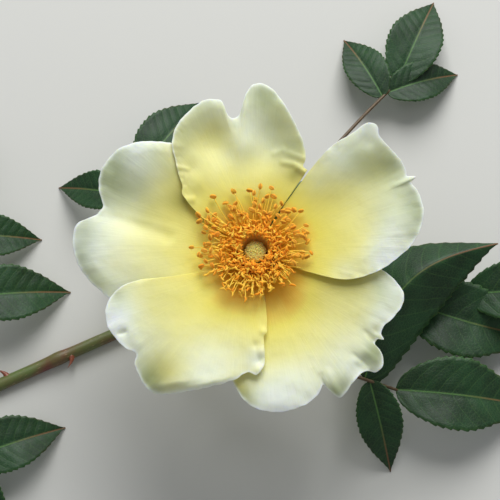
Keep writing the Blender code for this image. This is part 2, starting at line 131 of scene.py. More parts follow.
LOW_SIDE = -0.45            # but not at the bottom of the bloom
OUTER_HALF = 0.5
FRESH, RIPE, DUSTED = 0, 1, 2
RIPE_SHARE = 0.8            # of the opened anthers
DUSTED_SHARE = 0.35         # of the closed ones, and of those low down in the outer half
DUSTED_SHARE_LOW = 0.6
WITHERED_RIGHT = 0.6        # the withered part of the outer ring, low at the right
WITHERED_LOW, WITHERED_HIGH = -0.75, -0.1
LOST_SHARE = 0.45           # of the anthers there
OPEN_SIZES, YOUNG_SIZES = (0.8, 1.05), (0.75, 1.1)
SWING_OPEN, PITCH_OPEN, ROLL_OPEN = 1.4, (-0.5, 0.4), 0.5
PITCH_YOUNG, ROLL_YOUNG = 0.8, 1.4
STYLE_HEAD_TOP = 7.5
STYLE_HEAD_RADIUS = 3.3
STIGMA_BED = 0.3            # how deep the stigmas sit in the head's side
STIGMA_DOME = 1.45          # height of the dome that they cover
STIGMA_DOME_FOOT = 1.7      # how far its foot lies under the head's top

# Hip and sepals
HIP_DEPTH = 10.3
HIP_RADIUS = 6.9
SEPAL_ANGLES = (60, 132, 204, 276, 348)
SEPAL_LENGTH = 22.0
SEPAL_WIDTH = 6.0
SEPAL_DROOP = 5.0
SEPAL_TIP = 0.06
SEPAL_EDGE_RISE = 0.35
SEPAL_KEEL = 0.25
SEPAL_THICKNESS = 0.6

# Stem
STEM_RADIUS_CUT = 2.3
STEM_RADIUS_TOP = 1.2
STALK_RADIUS_TOP = 1.6
BEND_HEIGHT = 6.0
CANE_LAP = 0.1              # the stem and the stalk run into each other by so much
FLOWER_BASE = FLOWER_ORIGIN.z / MM
CANE_PATH = ((-150, -60, 2.3), (-115, -46, 2.1), (-81, -31, 1.9), (-46, -15, 1.7), (-25, -6, 2.2),
             (-12, -2, 6.5), (-3, -0.5, 16), (0, 0, 26), (0, 0, FLOWER_BASE - HIP_DEPTH - 0.45))
CANE_STEPS = 3              # the coarse steps that fix where the leaves sit
BARK_STEPS = 8
KNOT_SWELL = 0.28           # the stem swells where a leaf grows from it
KNOT_SHARE = 0.012
RIDGE_HEIGHT = 0.05
RIDGE_SIZE = (6, 2.5, 0.8)
PRICKLES = ((0.10, 70), (0.24, -60), (0.37, 40), (0.52, -75), (0.66, 65))
PRICKLE_STEPS = 8
PRICKLE_LENGTH = 4.4
PRICKLE_RADIUS = 1.0
PRICKLE_DEPTH = 1.3         # its foot stands inside the bark, so far from the stem's middle
PRICKLE_HOOK = 2.6

# Leaves
RACHIS_RADIUS = 0.75
PETIOLE_DEPTH = 0.3         # a leaf stalk starts inside the bark
PETIOLE_STUB = 2.5
PETIOLE_SPREAD = 0.75
PETIOLE_LIFT = 0.66
LEAFLET_WIDTH_SHARE = 0.54
LEAFLET_ARCH_SHARE = 0.10
FOLD = 0.16
LEAFLET_ROWS = 72
LEAFLET_COLUMNS = 16
TOOTH_DEPTH = 0.75          # in a leaflet of the length below, from this share of its half width
TOOTH_LENGTH = 40
TOOTH_START = 0.75
TOOTH_MIDDLE = 0.6
VEINS = 10                  # pairs of side veins in a leaflet
VEIN_SLANT = 0.5            # how far a side vein runs forward for each millimetre outwards
VEIN_CURVE = 0.035          # and how it bends forward
QUILT_RISE = 0.28           # the blade swells between its side veins
RIB_GROOVE = 0.18
BUCKLE_SIZE, BUCKLE_RISE = 7, 0.5
EDGE_START, EDGE_FULL = 0.8, 0.2    # shares of the half width where the margin turns red
REST = 0.3
LOWEST = REST * 0.7

# Stage
LAMP_SIZE = 0.8
LAMP_PLACE = (0.1, 0.8, 0.68)   # from the bloom, in metres
AIM_UP, AIM_LEFT = 1.95, 1.59   # the middle of the view, from the bloom's middle


def hex_linear(code):
    """Linear RGB of an sRGB hex colour."""
    channels = [int(code[i:i + 2], 16) / 255 for i in (1, 3, 5)]
    return tuple(c / 12.92 if c <= 0.04045 else ((c + 0.055) / 1.055) ** 2.4 for c in channels)


def colour_prop(name, description, code):
    """A colour setting whose default is given as an sRGB hex value."""
    return FloatVectorProperty(name=name, description=description, subtype="COLOR", size=3,
                               min=0.0, max=1.0, default=hex_linear(code))


def length_prop(name, description, default):
    """A size in metres."""
    return FloatProperty(name=name, description=description, default=default, unit="LENGTH")


class PetalSettings(bpy.types.PropertyGroup):
    """Sizes and colours of the petals."""
    thickness: length_prop("Thickness", "Thickness of a petal", 0.00034)
    ripple: length_prop("Ripple", "Height of the small waves along a margin", 0.00035)
    pleat: length_prop("Pleat", "Height of the fine radial pleats", 0.00011)
    heart: colour_prop("Heart", "Colour round the stamens", "#E8B01E")
    inner: colour_prop("Inner", "Colour of the inner third", "#EBDB62")
    middle: colour_prop("Middle", "Colour of the middle", "#E8E39C")
    outer: colour_prop("Outer", "Colour of the outer third", "#E4EACE")
    # The margin's colour, also used for the pale line along the margin, which is partly a painted
    # highlight.
    rim: colour_prop("Rim", "Colour of the margin", "#EEF5F0")
    # The tint of the painted shade, which darkens the petals in their hollows, beside overlapping
    # margins and under cast shadows.
    painted_shade: colour_prop("Painted_shade", "Tint of the thin patches", "#AEB49A")


class CentreSettings(bpy.types.PropertyGroup):
    """Counts, sizes and colours of the stamens and styles."""
    stamens: IntProperty(name="Stamens", description="Number of stamens", default=600, min=20)
    stigmas: IntProperty(name="Stigmas", description="Number of stigmas in the head",
                         default=190, min=10)
    filament_radius: length_prop("Filament radius", "Radius of a filament", 0.00016)
    anther_length: length_prop("Anther length", "Length of an anther", 0.0022)
    filament: colour_prop("Filament", "Colour of the outer filaments", "#FFD24A")
    filament_foot: colour_prop("Filament foot", "Colour of the filaments near the styles",
                               "#FFB62C")
    fresh: colour_prop("Fresh anther", "Colour of the inner anthers", "#FFA41C")
    ripe: colour_prop("Ripe anther", "Colour of the outer anthers", "#FAB430")
    dusted: colour_prop("Dusted anther", "Colour of anthers that shed pollen", "#FFC43C")
    groove: colour_prop("Groove", "Colour of the groove between an anther's lobes", "#B87818")
    disc: colour_prop("Disc", "Colour of the disc round the styles", "#F8BC50")
    style: colour_prop("Styles", "Colour of the styles", "#F0E070")


class StemSettings(bpy.types.PropertyGroup):
    """Colours of the stem, the stalk and the calyx."""
    bark: colour_prop("Bark", "Green of the young bark", "#5A6B34")
    flush: colour_prop("Flush", "Red flush on the sunny side of the bark", "#6E2F2A")
    pore: colour_prop("Pore", "Colour of the corky pores", "#B59C74")
    wood: colour_prop("Wood", "Colour of the wood at the cut end", "#C8CB9A")
    prickle: colour_prop("Prickle", "Colour of the prickles", "#8A4A34")
    calyx: colour_prop("Calyx", "Colour of the hip and the sepals", "#56703A")


class LeafSettings(bpy.types.PropertyGroup):
    """Sizes and colours of the leaves."""
    thickness: length_prop("Thickness", "Thickness of a leaflet", 0.00034)
    teeth: IntProperty(name="Teeth", description="Teeth on each side of a leaflet",
                       default=17, min=4)
    blade: colour_prop("Blade", "Colour of the upper side", "#163019")
    blush: colour_prop("Blush", "Lighter green between the veins", "#204324")
    vein: colour_prop("Vein", "Colour of the midrib and veins", "#4C7239")
    red: colour_prop("Red", "Colour of the midrib towards the tip", "#7A4A34")
    below: colour_prop("Underside", "Colour of the lower side", "#5F7F5E")
    stalk: colour_prop("Stalk", "Colour of the leaf's stalk", "#5F4A2C")


class StageSettings(bpy.types.PropertyGroup):
    """The floor, the lights and the camera."""
    floor: colour_prop("Floor", "Colour of the floor", "#CDCDC8")
    key: FloatProperty(name="Key light", description="Power of the key light", default=14.0,
                       unit="POWER")
    fill: FloatProperty(name="Fill light", description="Strength of the room's light",
                        default=0.34)
    elevation: FloatProperty(name="Elevation", description="Camera's height over the horizon",
                             default=math.radians(75), unit="ROTATION")
    distance: length_prop("Distance", "From the camera to the bloom", 0.55)
    lens: FloatProperty(name="Lens", description="Focal length", default=132.0, unit="CAMERA")


def polar(angle, reach):
    return Vector((math.cos(math.radians(angle)), math.sin(math.radians(angle)))) * reach


def smooth(value, start=0.0, run=1.0):
    """0 up to the start and 1 after the run, with a rounded slope between them."""
    share = min(1.0, max(0.0, (value - start) / run))
    return share * share * (3 - 2 * share)


def bell(distance, width):
    return math.exp(-(distance / width) ** 2)


def waves(point, size, seed):
    """Smooth random waves over the plan, about so many millimetres apart."""
    return noise.noise((point.x / size, point.y / size, seed))


def between(first, last, share):
    return first + (last - first) * share


class Petal:
    """One petal: its margin from the clockwise side round to the other, and its relief.

    level, cup, crest: height of its foot, slope there, and the reach where it stops rising.
    margin: (angle, reach) of the points that give its lobes and notches.
    folds: (angle, width, start reach, rise at the margin) of ridges and valleys.
    dents: (angle, reach, radius, rise) of round hollows or bumps.
    creases: (angle, reach, angle, reach, width, rise) of sharp ridges from one point to another.
    curls: (angle, width, depth from the margin, drop) of stretches that roll down.
    painted_shade: (angle, reach, radius, share) of patches of painted shade, where the colour is
    darkened and dulled.
    tone_and_painted_light: (angle, reach, radius, shift) of patches with the colour of a place
    further out or in, partly the petal's own tone and partly painted light (paler) and painted
    shade (deeper gold).
    first_ease: how soon the clockwise side fans out.
    """

    def __init__(self, name, level, cup, crest, margin, folds, dents, creases, curls, painted_shade, tone_and_painted_light,
                 first_ease=FAN_EASE):
        self.name, self.level, self.cup, self.crest = name, level, cup, crest
        self.margin, self.folds, self.dents, self.curls = margin, folds, dents, curls
        self.creases = [(polar(*crease[:2]), polar(*crease[2:4]), *crease[4:])
                        for crease in creases]
        self.painted_shade, self.tone_and_painted_light, self.first_ease = painted_shade, tone_and_painted_light, first_ease

    def height(self, angle, reach, inset):
        """Height over the base plane of a point that lies inset from the margin."""
        here = polar(angle, reach)
        rise = self.level + self.cup * reach * (1 - reach / (2 * self.crest))
        for place, width, start, top in self.folds:
            rise += top * smooth(reach, start, FULL_REACH - start) * bell(angle - place, width)
        for place, out, size, top in self.dents:
            rise += top * bell((here - polar(place, out)).length, size)
        for start, end, width, top in self.creases:
            run = end - start
            offset = here - start
            share = min(1.0, max(0.0, offset.dot(run) / run.dot(run)))
            rise += top * smooth(share * CREASE_ONSET) * bell((offset - run * share).length, width)
        for place, width, depth, drop in self.curls:
            roll = drop * max(0.0, 1 - inset / depth) ** CURL_POWER * bell(angle - place, width)
            rise -= roll * smooth(reach, CURL_START, CURL_FULL)
        return rise


def patched(patches, angle, reach):
    """Sum at a point of round patches that fade out."""
    here = polar(angle, reach)
    return sum(share * bell((here - polar(place, out)).length, size)
               for place, out, size, share in patches)


def angle_near(vector, centre):
    """The vector's angle in degrees, taken within half a turn of the centre angle."""
    angle = math.degrees(math.atan2(vector.y, vector.x))
    return centre + (angle - centre + 180) % 360 - 180


# In each petal, the painted_shade patches paint shade into its colour, and the
# tone_and_painted_light patches paint light and shade as well as its own tone.
PETALS = (
    Petal(
        "petal_top", UPPER_LEVEL, cup=0.45, crest=46,
        margin=(
            (57, 28.4), (60.7, 29.1), (61.2, 31), (63.3, 33.2), (68, 37), (74, 41.4), (79.7, 46.1),
            (84.5, 49.8), (88, 51), (91, 50.3), (93.2, 47.8), (95, 44.3), (97, 41.2), (99.4, 40.7),
            (101.2, 41.8), (101.9, 43.1), (102.3, 45), (102.9, 46.6), (104.4, 47.3), (107.1, 48),
            (109.7, 48.1), (112.2, 47.5), (114.8, 46.8), (119.7, 45.4), (122.4, 44.2),
            (124.9, 42.8), (127.4, 41), (129.4, 38.9), (131.4, 36.1), (133.7, 33.9), (136.6, 30.7),
            (138.7, 28.9), (142.1, 27.6), (144.1, 25.5), (145.7, 23), (147, 20.2), (148.5, 16)),
        folds=((99, 7, 12, 1.2),),
        dents=(
            (82, 33, 8.5, -4.0), (111, 36, 7.5, -3.6), (103, 27, 7, -1.0), (96, 32, 5, 1.5),
            (131, 27, 2.2, 0.25), (128, 31, 2.0, -0.25), (123, 34, 2.2, 0.22),
            (136, 23.5, 2.0, -0.2)),
        creases=(
            (82, 30, 75, 32, 1.0, 0.35), (75, 32, 63, 31, 0.9, 0.45),
            (76, 28.2, 66, 28.4, 0.8, 0.6), (66, 28.4, 57.5, 27.5, 0.9, 0.9),
            (119, 42.2, 119.8, 45.4, 0.6, 0.15), (121.3, 40.6, 122.8, 44.2, 0.5, -0.12),
            (123.9, 37.2, 128.4, 40.2, 1.1, 0.25), (127.6, 35.2, 130.6, 37, 0.7, -0.1),
            (128, 30.5, 133.4, 34, 0.7, 0.3), (134.4, 29.6, 136.2, 30.9, 0.6, -0.1),
            (137.4, 27.2, 139.2, 28.6, 0.6, 0.12), (139.1, 22.9, 144.1, 25.5, 1.1, 0.4)),
        curls=((86, 12, 3, 0.3), (97.5, 5, 5, 1.2), (112, 10, 3, 0.4), (135, 10, 4, 0.3)),
        painted_shade=(
            (77.6, 41, 6, 0.5), (87, 48, 6.5, 0.9), (67.5, 34.5, 5, 0.5), (111, 47, 6, 0.45),
            (122, 42, 6, 0.55), (128, 36, 5, 0.3), (109, 38, 6, 0.35), (62, 25.6, 2.6, 0.6),
            (73, 28, 7, 0.5), (80, 36, 6, 0.1)),
        tone_and_painted_light=(
            (86, 34, 8, 0.15), (99, 29, 7, 0.10), (97, 40, 6, 0.06), (70, 31, 6, 0.12),
            (98, 18, 7, 0.07), (110, 38, 5, -0.06))),
    Petal(
        "petal_right", UPPER_LEVEL, cup=0.42, crest=42,
        margin=(
            (-23, 16), (-20.5, 26), (-17, 31), (-9, 38), (-2, 43.4), (2.9, 47), (7.8, 49.6),
            (12.5, 51.3), (16.4, 51.8), (21.1, 51.8), (24.2, 51), (25.1, 53), (26.7, 50.8),
            (28.7, 51.4), (32, 51.4), (37.4, 50.6), (40.5, 50.1), (42.8, 50.3), (44.9, 51.5),
            (46.7, 51.4), (48.4, 49.9), (49.1, 48), (49.5, 46.1), (50.4, 43.7), (53, 39), (55, 32),
            (58.5, 17)),
        folds=((52, 20, 18, 4.0),),
        dents=(
            (31, 46, 7, -2.9), (18, 48, 5, -1.6), (30, 36, 8, -1.2), (48, 50, 3.0, 0.8),
            (44, 46, 2.5, -0.5)),
        creases=((26, 44, 24.6, 50.5, 0.9, 0.3),),
        curls=((6, 18, 9, 2.0), (24, 8, 5, 0.6)),
        painted_shade=(
            (32, 46, 8, 0.5), (39, 28, 7, 0.2), (34, 50, 4, 0.3), (22, 51, 4, 0.3),
            (14.5, 50.5, 5, 0.8), (6, 48, 4.5, 0.5), (20, 41, 9, 0.4), (39.5, 41, 6, 0.4),
            (30, 28, 7, 0.1), (47.5, 48.5, 4, 0.3), (50, 41.5, 4, 0.25)),
        tone_and_painted_light=(
            (49, 37, 7, 0.22), (50, 27, 4, 0.14), (48, 48, 4, 0.14), (-6, 38, 6, 0.26),
            (-14, 27, 4, 0.16), (8, 41, 7, 0.12), (33, 46, 5, -0.08), (30, 30, 6, -0.04))),
    Petal(
        "petal_lower_right", 0.0, cup=0.38, crest=38,
        margin=(
            (-103, 34), (-100.5, 38.5), (-97.8, 41.6), (-94.7, 44.6), (-90.2, 47.2), (-85, 48.6),
            (-80, 49), (-74.5, 48.8), (-70, 48), (-66.3, 46.4), (-63.9, 44.9), (-62.6, 47.6),
            (-60.7, 50.4), (-58.4, 50), (-55.1, 49), (-51, 48.1), (-47.6, 48.8), (-46, 50.6),
            (-43, 50.8), (-40.6, 49), (-39.4, 47), (-38.8, 44.8), (-36.6, 44.6), (-35.5, 46.2),
            (-34.3, 44.6), (-31.5, 44), (-28.3, 44.9), (-24.3, 45.7), (-20.6, 46.2), (-17.4, 46),
            (-13.7, 43.9), (-9, 38.5), (-4, 30), (-3, 20)),
        folds=(
            (-38, 3.5, 32, -0.6), (-48, 3, 38, -0.4), (-64, 3, 38, -0.1), (-54, 4, 36, 0.4),
            (-100, 9, 20, -1.2), (-12, 9, 18, -1.4), (-80, 18, 32, 1.6)),
        dents=((-46, 46, 1.5, -0.6), (-49.5, 46, 1.4, -0.5), (-34.5, 43, 1.4, -0.5)),
        creases=(
            (-48, 41, -46.5, 47.5, 0.8, -0.4), (-44, 42, -43, 48, 1.0, 0.3),
            (-62.5, 41, -63.8, 45, 0.7, -0.4), (-60, 40, -60.5, 49, 1.0, 0.4),
            (-37, 39, -38, 44, 0.8, -0.4)),
        curls=((-84, 16, 3, 0.5), (-43, 6, 4, 0.8), (-60, 6, 4, 1.0), (-20, 12, 5, 0.8)),
        painted_shade=(
            (-22, 30, 8, 0.5), (-39, 22, 6, 0.3), (-18, 40.5, 6, 0.5), (-58, 48.5, 4, 0.7),
            (-62, 48, 3, 0.5), (-44, 47.5, 4, 0.7), (-40, 46, 3.5, 0.6), (-95, 44, 4, 0.8),
            (-58, 18, 6, 0.4)),
        tone_and_painted_light=(
            (-83, 44, 7, 0.12), (-15, 42, 6, 0.20), (-28, 42, 5, 0.12), (-50, 42, 8, 0.06),
            (-84, 23, 7, -0.09), (-56, 19, 7, -0.09), (-98, 42, 4, -0.16), (-73, 40, 6, 0.06)),
        first_ease=0.5),
    Petal(
        "petal_lower_left", UPPER_LEVEL, cup=0.42, crest=38,
        margin=(
            (-164.5, 35), (-163.8, 40.5), (-161.2, 44.6), (-157.7, 47.2), (-154.5, 48.4),
            (-151, 49.2), (-145.2, 48.8), (-141.3, 48.3), (-137.7, 46.8), (-135.5, 49.2),
            (-130.3, 51.4), (-126.3, 52.2), (-122.8, 51.2), (-119, 48.8), (-114.2, 46.5),
            (-109.3, 44.2), (-104.2, 41.9), (-99.1, 39.9), (-97.1, 39), (-95.5, 37.8),
            (-93.3, 37.2), (-91.5, 37.7), (-90, 38), (-88.3, 37.2), (-86.1, 35.4), (-85.3, 32.5),
            (-85.2, 29.5), (-85.1, 27), (-84, 26), (-82.4, 25.2), (-82, 23.7), (-81, 21.5),
            (-79, 15)),
        folds=((-108, 14, 30, 2.0), (-150, 12, 34, 1.2)),
        dents=(
            (-146.5, 46.5, 1.6, -0.4), (-84.8, 25.1, 1.0, 0.4), (-89.7, 29, 1.3, -0.35),
            (-86.8, 31.2, 1.5, 0.5), (-87.6, 33.8, 1.2, -0.3), (-88.5, 36.3, 1.2, 0.4)),
        creases=((-146, 44.6, -147, 47.2, 0.7, -0.5), (-92, 27, -88, 34, 0.8, -0.15)),
        curls=(
            (-154, 12, 5, 0.5), (-134, 6, 3.0, 0.6), (-119.5, 5.5, 3.0, 3.2), (-108, 8, 1.3, 1.2)),
        painted_shade=(
            (-129, 47.5, 6.5, 0.75), (-127, 50.5, 4, 0.4), (-148, 36, 7, 0.15),
            (-160, 43.5, 4, 0.5), (-118, 18, 6, 0.25)),
        tone_and_painted_light=(
            (-153, 45, 6, 0.18), (-125, 46, 7, -0.2), (-139, 44, 5, 0.04), (-108, 33, 9, 0.12),
            (-88, 33, 4, 0.2), (-114, 39, 6, 0.05), (-112, 19, 8, -0.07), (-145, 38, 7, -0.03)),
        first_ease=3.0),
    Petal(
        "petal_left", 0.0, cup=0.40, crest=42,
        margin=(
            (116, 20), (117, 30), (121, 36), (124.5, 38.8), (127.6, 40.8), (131, 43.4),
            (133.9, 45.5), (136.5, 47.6), (140, 49.8), (144.4, 51.7), (149.5, 52.3), (153.7, 52),
            (158.5, 50.1), (163.3, 47.6), (166.2, 48.4), (168.6, 50.7), (170.9, 53.6),
            (174.2, 54.4), (178.4, 54), (184, 52.8), (189, 50.5), (194.4, 47.4), (198.4, 45.2),
            (205, 40), (212, 32), (214, 20)),
        folds=(
            (165, 8, 18, -1.0), (164.8, 2.6, 18, 0.35), (209, 13, 20, -4.5), (132, 16, 20, 3.4),
            (118, 6, 10, -1.5)),
        dents=((157, 39, 8, -2.4), (129.5, 37.5, 5, -0.9)),
        creases=((174, 24, 169.2, 28.7, 2.2, -0.45), (169.2, 28.7, 165, 47, 2.4, -0.7)),
        curls=((138, 14, 4.5, 1.2), (184, 18, 5, 1.4)),
        painted_shade=(
            (152, 51, 7, 1.0), (143, 50, 5, 0.4), (135.5, 44, 5, 0.2), (160, 46, 6, 0.25),
            (153, 42, 6, 0.3), (183, 53, 5, 0.7), (192, 50, 5, 0.8), (171, 52.5, 5, 0.6),
            (177, 50, 5, 0.35), (158, 34, 6, 0.4), (145, 27, 4.5, 0.7), (133, 24, 4, 0.5),
            (134, 34, 4, 0.5), (135, 39, 4, 0.25)),
        tone_and_painted_light=(
            (148, 41, 9, 0.08), (140, 48, 7, 0.14), (180, 50, 7, 0.12), (202, 40, 7, 0.16),
            (200, 28, 6, 0.12), (166, 18, 7, 0.07), (158, 30, 6, -0.04))),
)

# Each compound leaf: its node as (share of the stem, side of it), its rachis from there as
# (x, y, height), and its leaflets: the share of the rachis, the turn from it in degrees, the
# length, the height of the tip, the sideways bow as a share of the length, and the rise of
# the left and the right half for each millimetre from the midrib.
LEAVES = {
    "leaf_right_front": (
        (0.875, -1), ((-10, -17, 11), (14, -25, 15), (34, -32, 16), (46, -35, 11)),
        ((0.40, -62, 19, 5.0), (0.84, 60, 60, 20.0, 0.18, -0.75, -0.85), (0.86, -60, 27),
         (0.97, 9, 44))),
    "leaf_right_back": (
        (0.94, -1), ((0, -6.5, 9), (26, -5, 9), (48, -4, 7), (70, -2.5, 7)),
        ((0.40, 58, 21, 2.0), (0.72, 46, 26, 2.0), (0.74, -17, 46, REST, -0.05),
         (0.97, -4, 40, 9.0))),
    "leaf_upper_right": (
        (0.95, 1), ((-2, 12, 13), (20, 38, 13), (36, 57, 10), (49, 71, 7)),
        ((0.38, 58, 22, 4.0), (0.40, -58, 20, 8.0), (0.90, 70, 26), (0.92, -26, 26),
         (0.97, 20, 34))),
    "leaf_upper_left": (
        (0.80, 1), ((-42, 8, 12), (-41, 25, 13), (-37, 38, 10)),
        ((0.46, -60, 24, 3.0), (0.80, 90, 25), (0.82, -50, 26, 1.0), (0.97, -16, 34))),
    "leaf_left": (
        (0.47, 1), ((-92, -18, 11), (-95, 2, 12), (-97, 24, 8)),
        ((0.48, 66, 34), (0.50, -88, 35), (0.84, 60, 34), (0.86, -92, 27), (0.97, -8, 36))),
    "leaf_lower_left": (
        (0.22, -1), ((-108, -57, 9), (-97, -58, 9), (-90, -56, 7)),
        ((0.40, 72, 16, 1.0), (0.44, -72, 30, 1.0), (0.80, 66, 14, 1.0), (0.84, -60, 28),
         (0.97, 2, 33))),
}


# Materials ---------------------------------------------------------------------------

def put(node, inputs):
    """Set a node's inputs, each to a value or by a link from another node's output."""
    for name, value in inputs.items():
        if isinstance(value, bpy.types.NodeSocket):
            node.id_data.links.new(value, node.inputs[name])
        else:
            node.inputs[name].default_value = value


def add(tree, kind, inputs=None, output=0, **settings):
    """Add a node with its settings and its inputs' values and links.

    It gives back one of the node's outputs, and the node itself is that output's .node.
    """
    node = tree.nodes.new("ShaderNode" + kind)
    for name, value in settings.items():
        setattr(node, name, value)
    put(node, inputs or {})
    return node.outputs[output]


def new_material(name, **sockets):
    """A material, its node tree, and its Principled shader with its sockets set by name."""
    mat = bpy.data.materials.new(name)
    mat.use_nodes = True
    shader = mat.node_tree.nodes["Principled BSDF"]
    put(shader, {socket.replace("_", " "): value for socket, value in sockets.items()})
    return mat, mat.node_tree, shader


def rgba(colour):
    return (*colour, 1.0)


# A colour Mix node's sockets, and the two ways it is used.
FACTOR, FIRST, SECOND, MIXED = 0, 6, 7, 2
BLEND = dict(output=MIXED, data_type="RGBA")
TINT = dict(output=MIXED, data_type="RGBA", blend_type="MULTIPLY")
# A Map Range node takes a pattern (0) from one range (1, 2) to another (3, 4), and rounded.
STEP = dict(interpolation_type="SMOOTHSTEP")
# Light that goes about a millimetre deep into soft tissue, and comes out warm.
FLESH = dict(Subsurface_Scale=0.0008, Subsurface_Radius=(1.0, 0.7, 0.3))


def shaded(tree, colour, pattern, darkest, share=1.0):
    """A colour that a noise pattern darkens, at the most to the darkest share of it."""
    light = add(tree, "MapRange", {0: pattern, 1: 0.3, 2: 0.7, 3: darkest, 4: 1.0}, **STEP)
    light = add(tree, "CombineColor", {0: light, 1: light, 2: light})
    return add(tree, "Mix", {FACTOR: share, FIRST: colour, SECOND: light}, **TINT)


def petal_tissue(settings):
    """Petal tissue: of little thickness, soft and slightly waxy, so light glows through it and no
    edge is hard.

    Yellow at the claw fades to cream, and fine veins fan out from the claw. Patches of painted
    shade darken it, and the pale line along its margin is partly a painted highlight.
    """
    mat, tree, shader = new_material(
        "petal_tissue", Roughness=0.55, IOR=1.38, Subsurface_Weight=0.55,
        Subsurface_Radius=(1.0, 0.85, 0.35), Subsurface_Scale=0.0012, Sheen_Weight=0.15,
        Sheen_Roughness=0.5)
    reach, rim, painted_shade = (add(tree, "Attribute", output="Fac", attribute_name=name)
                        for name in ("reach", "rim", "painted_shade"))
    fan = add(tree, "UVMap", output="UV", uv_map="fan")
    cloud = add(tree, "TexNoise", {"Vector": fan, "Scale": 3.5, "Detail": 2.0})
    wander = add(tree, "Math", {0: cloud, 1: 0.14, 2: -0.07}, operation="MULTIPLY_ADD")
    place = add(tree, "Math", {0: reach, 1: wander}, operation="ADD")
    ramp = add(tree, "ValToRGB", {"Fac": place})
    stops = ((0.18, settings.heart), (0.32, settings.inner), (0.58, settings.middle),
             (0.80, settings.outer), (0.98, settings.rim))
    elements = ramp.node.color_ramp.elements
    while len(elements) < len(stops):
        elements.new(1.0)
    for element, (position, colour) in zip(elements, stops):
        element.position = position
        element.color = rgba(colour)
    # Veins about 0.5 mm apart half way out, long along the petal, that come and go.
    streaks = add(tree, "Mapping", {"Vector": fan, "Scale": (95.0, 2.4, 1.0)})
    veins = add(tree, "TexNoise", {"Vector": streaks, "Scale": 1.0, "Detail": 4.0,
                                   "Roughness": 0.65})
    shown = add(tree, "MapRange", {0: cloud, 1: 0.42, 2: 0.6, 3: 0.15, 4: 0.9}, **STEP)
    veined = shaded(tree, ramp, veins, 0.95, shown)
    # Painted shade: patches where the colour is darkened and dulled towards a grey-green, where
    # shade falls on the petal.
    dull = add(tree, "Mix", {FACTOR: painted_shade, FIRST: veined, SECOND: rgba(settings.painted_shade)}, **TINT)
    # The pale line along the margin: partly the margin's paler tissue, partly a painted highlight
    # along the edge.
    rim_and_highlight = add(tree, "Mix", {FACTOR: rim, FIRST: dull, SECOND: rgba(settings.rim)}, **BLEND)
    # Pleats about 1 mm apart towards the margin, and a soft crinkle of 3 to 4 mm, as in crepe.
    creases = add(tree, "Mapping", {"Vector": fan, "Scale": (120.0, 3.0, 1.0)})
    pleats = add(tree, "TexNoise", {"Vector": creases, "Scale": 1.0, "Detail": 1.0})
    outer_part = add(tree, "MapRange", {0: reach, 1: 0.55, 2: 0.9}, **STEP)
    relief = add(tree, "Math", {0: pleats, 1: outer_part, 2: veins}, operation="MULTIPLY_ADD")
    object_place = add(tree, "TexCoord", output="Object")
    crepe = add(tree, "TexNoise", {"Vector": object_place, "Scale": 280.0, "Detail": 3.0})
    relief = add(tree, "Math", {0: crepe, 1: 2.5, 2: relief}, operation="MULTIPLY_ADD")
    bump = add(tree, "Bump", {"Height": relief, "Strength": 0.3, "Distance": 0.00016})
    put(shader, {"Base Color": rim_and_highlight, "Normal": bump})
    return mat


def plain_tissue(name, colour, roughness, depth, mottle=0.15, grain=0.0004, **sockets):
    """Soft plant tissue of one colour that varies a little, with a fine grain in its relief."""
    mat, tree, shader = new_material(name, Roughness=roughness, Subsurface_Weight=depth, **FLESH,
                                     **sockets)
    place = add(tree, "TexCoord", output="Object")
    cells = add(tree, "TexNoise", {"Vector": place, "Scale": 1 / grain, "Detail": 2.0})
    bump = add(tree, "Bump", {"Height": cells, "Strength": 0.3, "Distance": grain / 4})
    put(shader, {"Base Color": shaded(tree, rgba(colour), cells, 1 - mottle), "Normal": bump})
    return mat


def pollen_sacs(name, colour, groove):
    """An anther: matt pollen sacs, rough with pollen, either side of a darker groove.

    The pollen's grains are too fine to show, so they are drawn 0.25 mm across.
    """
    mat, tree, shader = new_material(
        name, Roughness=0.7, Specular_IOR_Level=0.25, Subsurface_Weight=0.3, Sheen_Weight=0.5,
        Sheen_Tint=(1.0, 0.68, 0.25, 1.0), **FLESH)
    place = add(tree, "TexCoord", output="Object")
    grains = add(tree, "TexNoise", {"Vector": place, "Scale": 4000.0, "Detail": 1.0})
    dusty = shaded(tree, rgba(colour), grains, 0.86)
    depth = add(tree, "Attribute", output="Fac", attribute_name="groove")
    grooved = add(tree, "Mix", {FACTOR: depth, FIRST: dusty, SECOND: rgba(groove)}, **BLEND)
    bump = add(tree, "Bump", {"Height": grains, "Strength": 0.3, "Distance": 0.00006})
    put(shader, {"Base Color": grooved, "Normal": bump})
    return mat


def filament_tissue(settings):
    """Filaments: glossy threads, deep orange near the styles and clear yellow at the outside."""
    mat, tree, shader = new_material(
        "filament_tissue", Roughness=0.45, Specular_IOR_Level=0.3, Subsurface_Weight=0.3, **FLESH)
    place = add(tree, "TexCoord", output="Object")
    moved = add(tree, "Mapping", {"Vector": place, "Location": -FLOWER_ORIGIN})
    flat = add(tree, "VectorMath", {0: moved, 1: (1.0, 1.0, 0.0)}, operation="MULTIPLY")
    out = add(tree, "VectorMath", {0: flat}, output="Value", operation="LENGTH")
    share = add(tree, "MapRange", {0: out, 1: 0.006, 2: 0.0125}, **STEP)
    colour = add(tree, "Mix", {FACTOR: share, FIRST: rgba(settings.filament_foot),
                               SECOND: rgba(settings.filament)}, **BLEND)
    put(shader, {"Base Color": colour})
    return mat


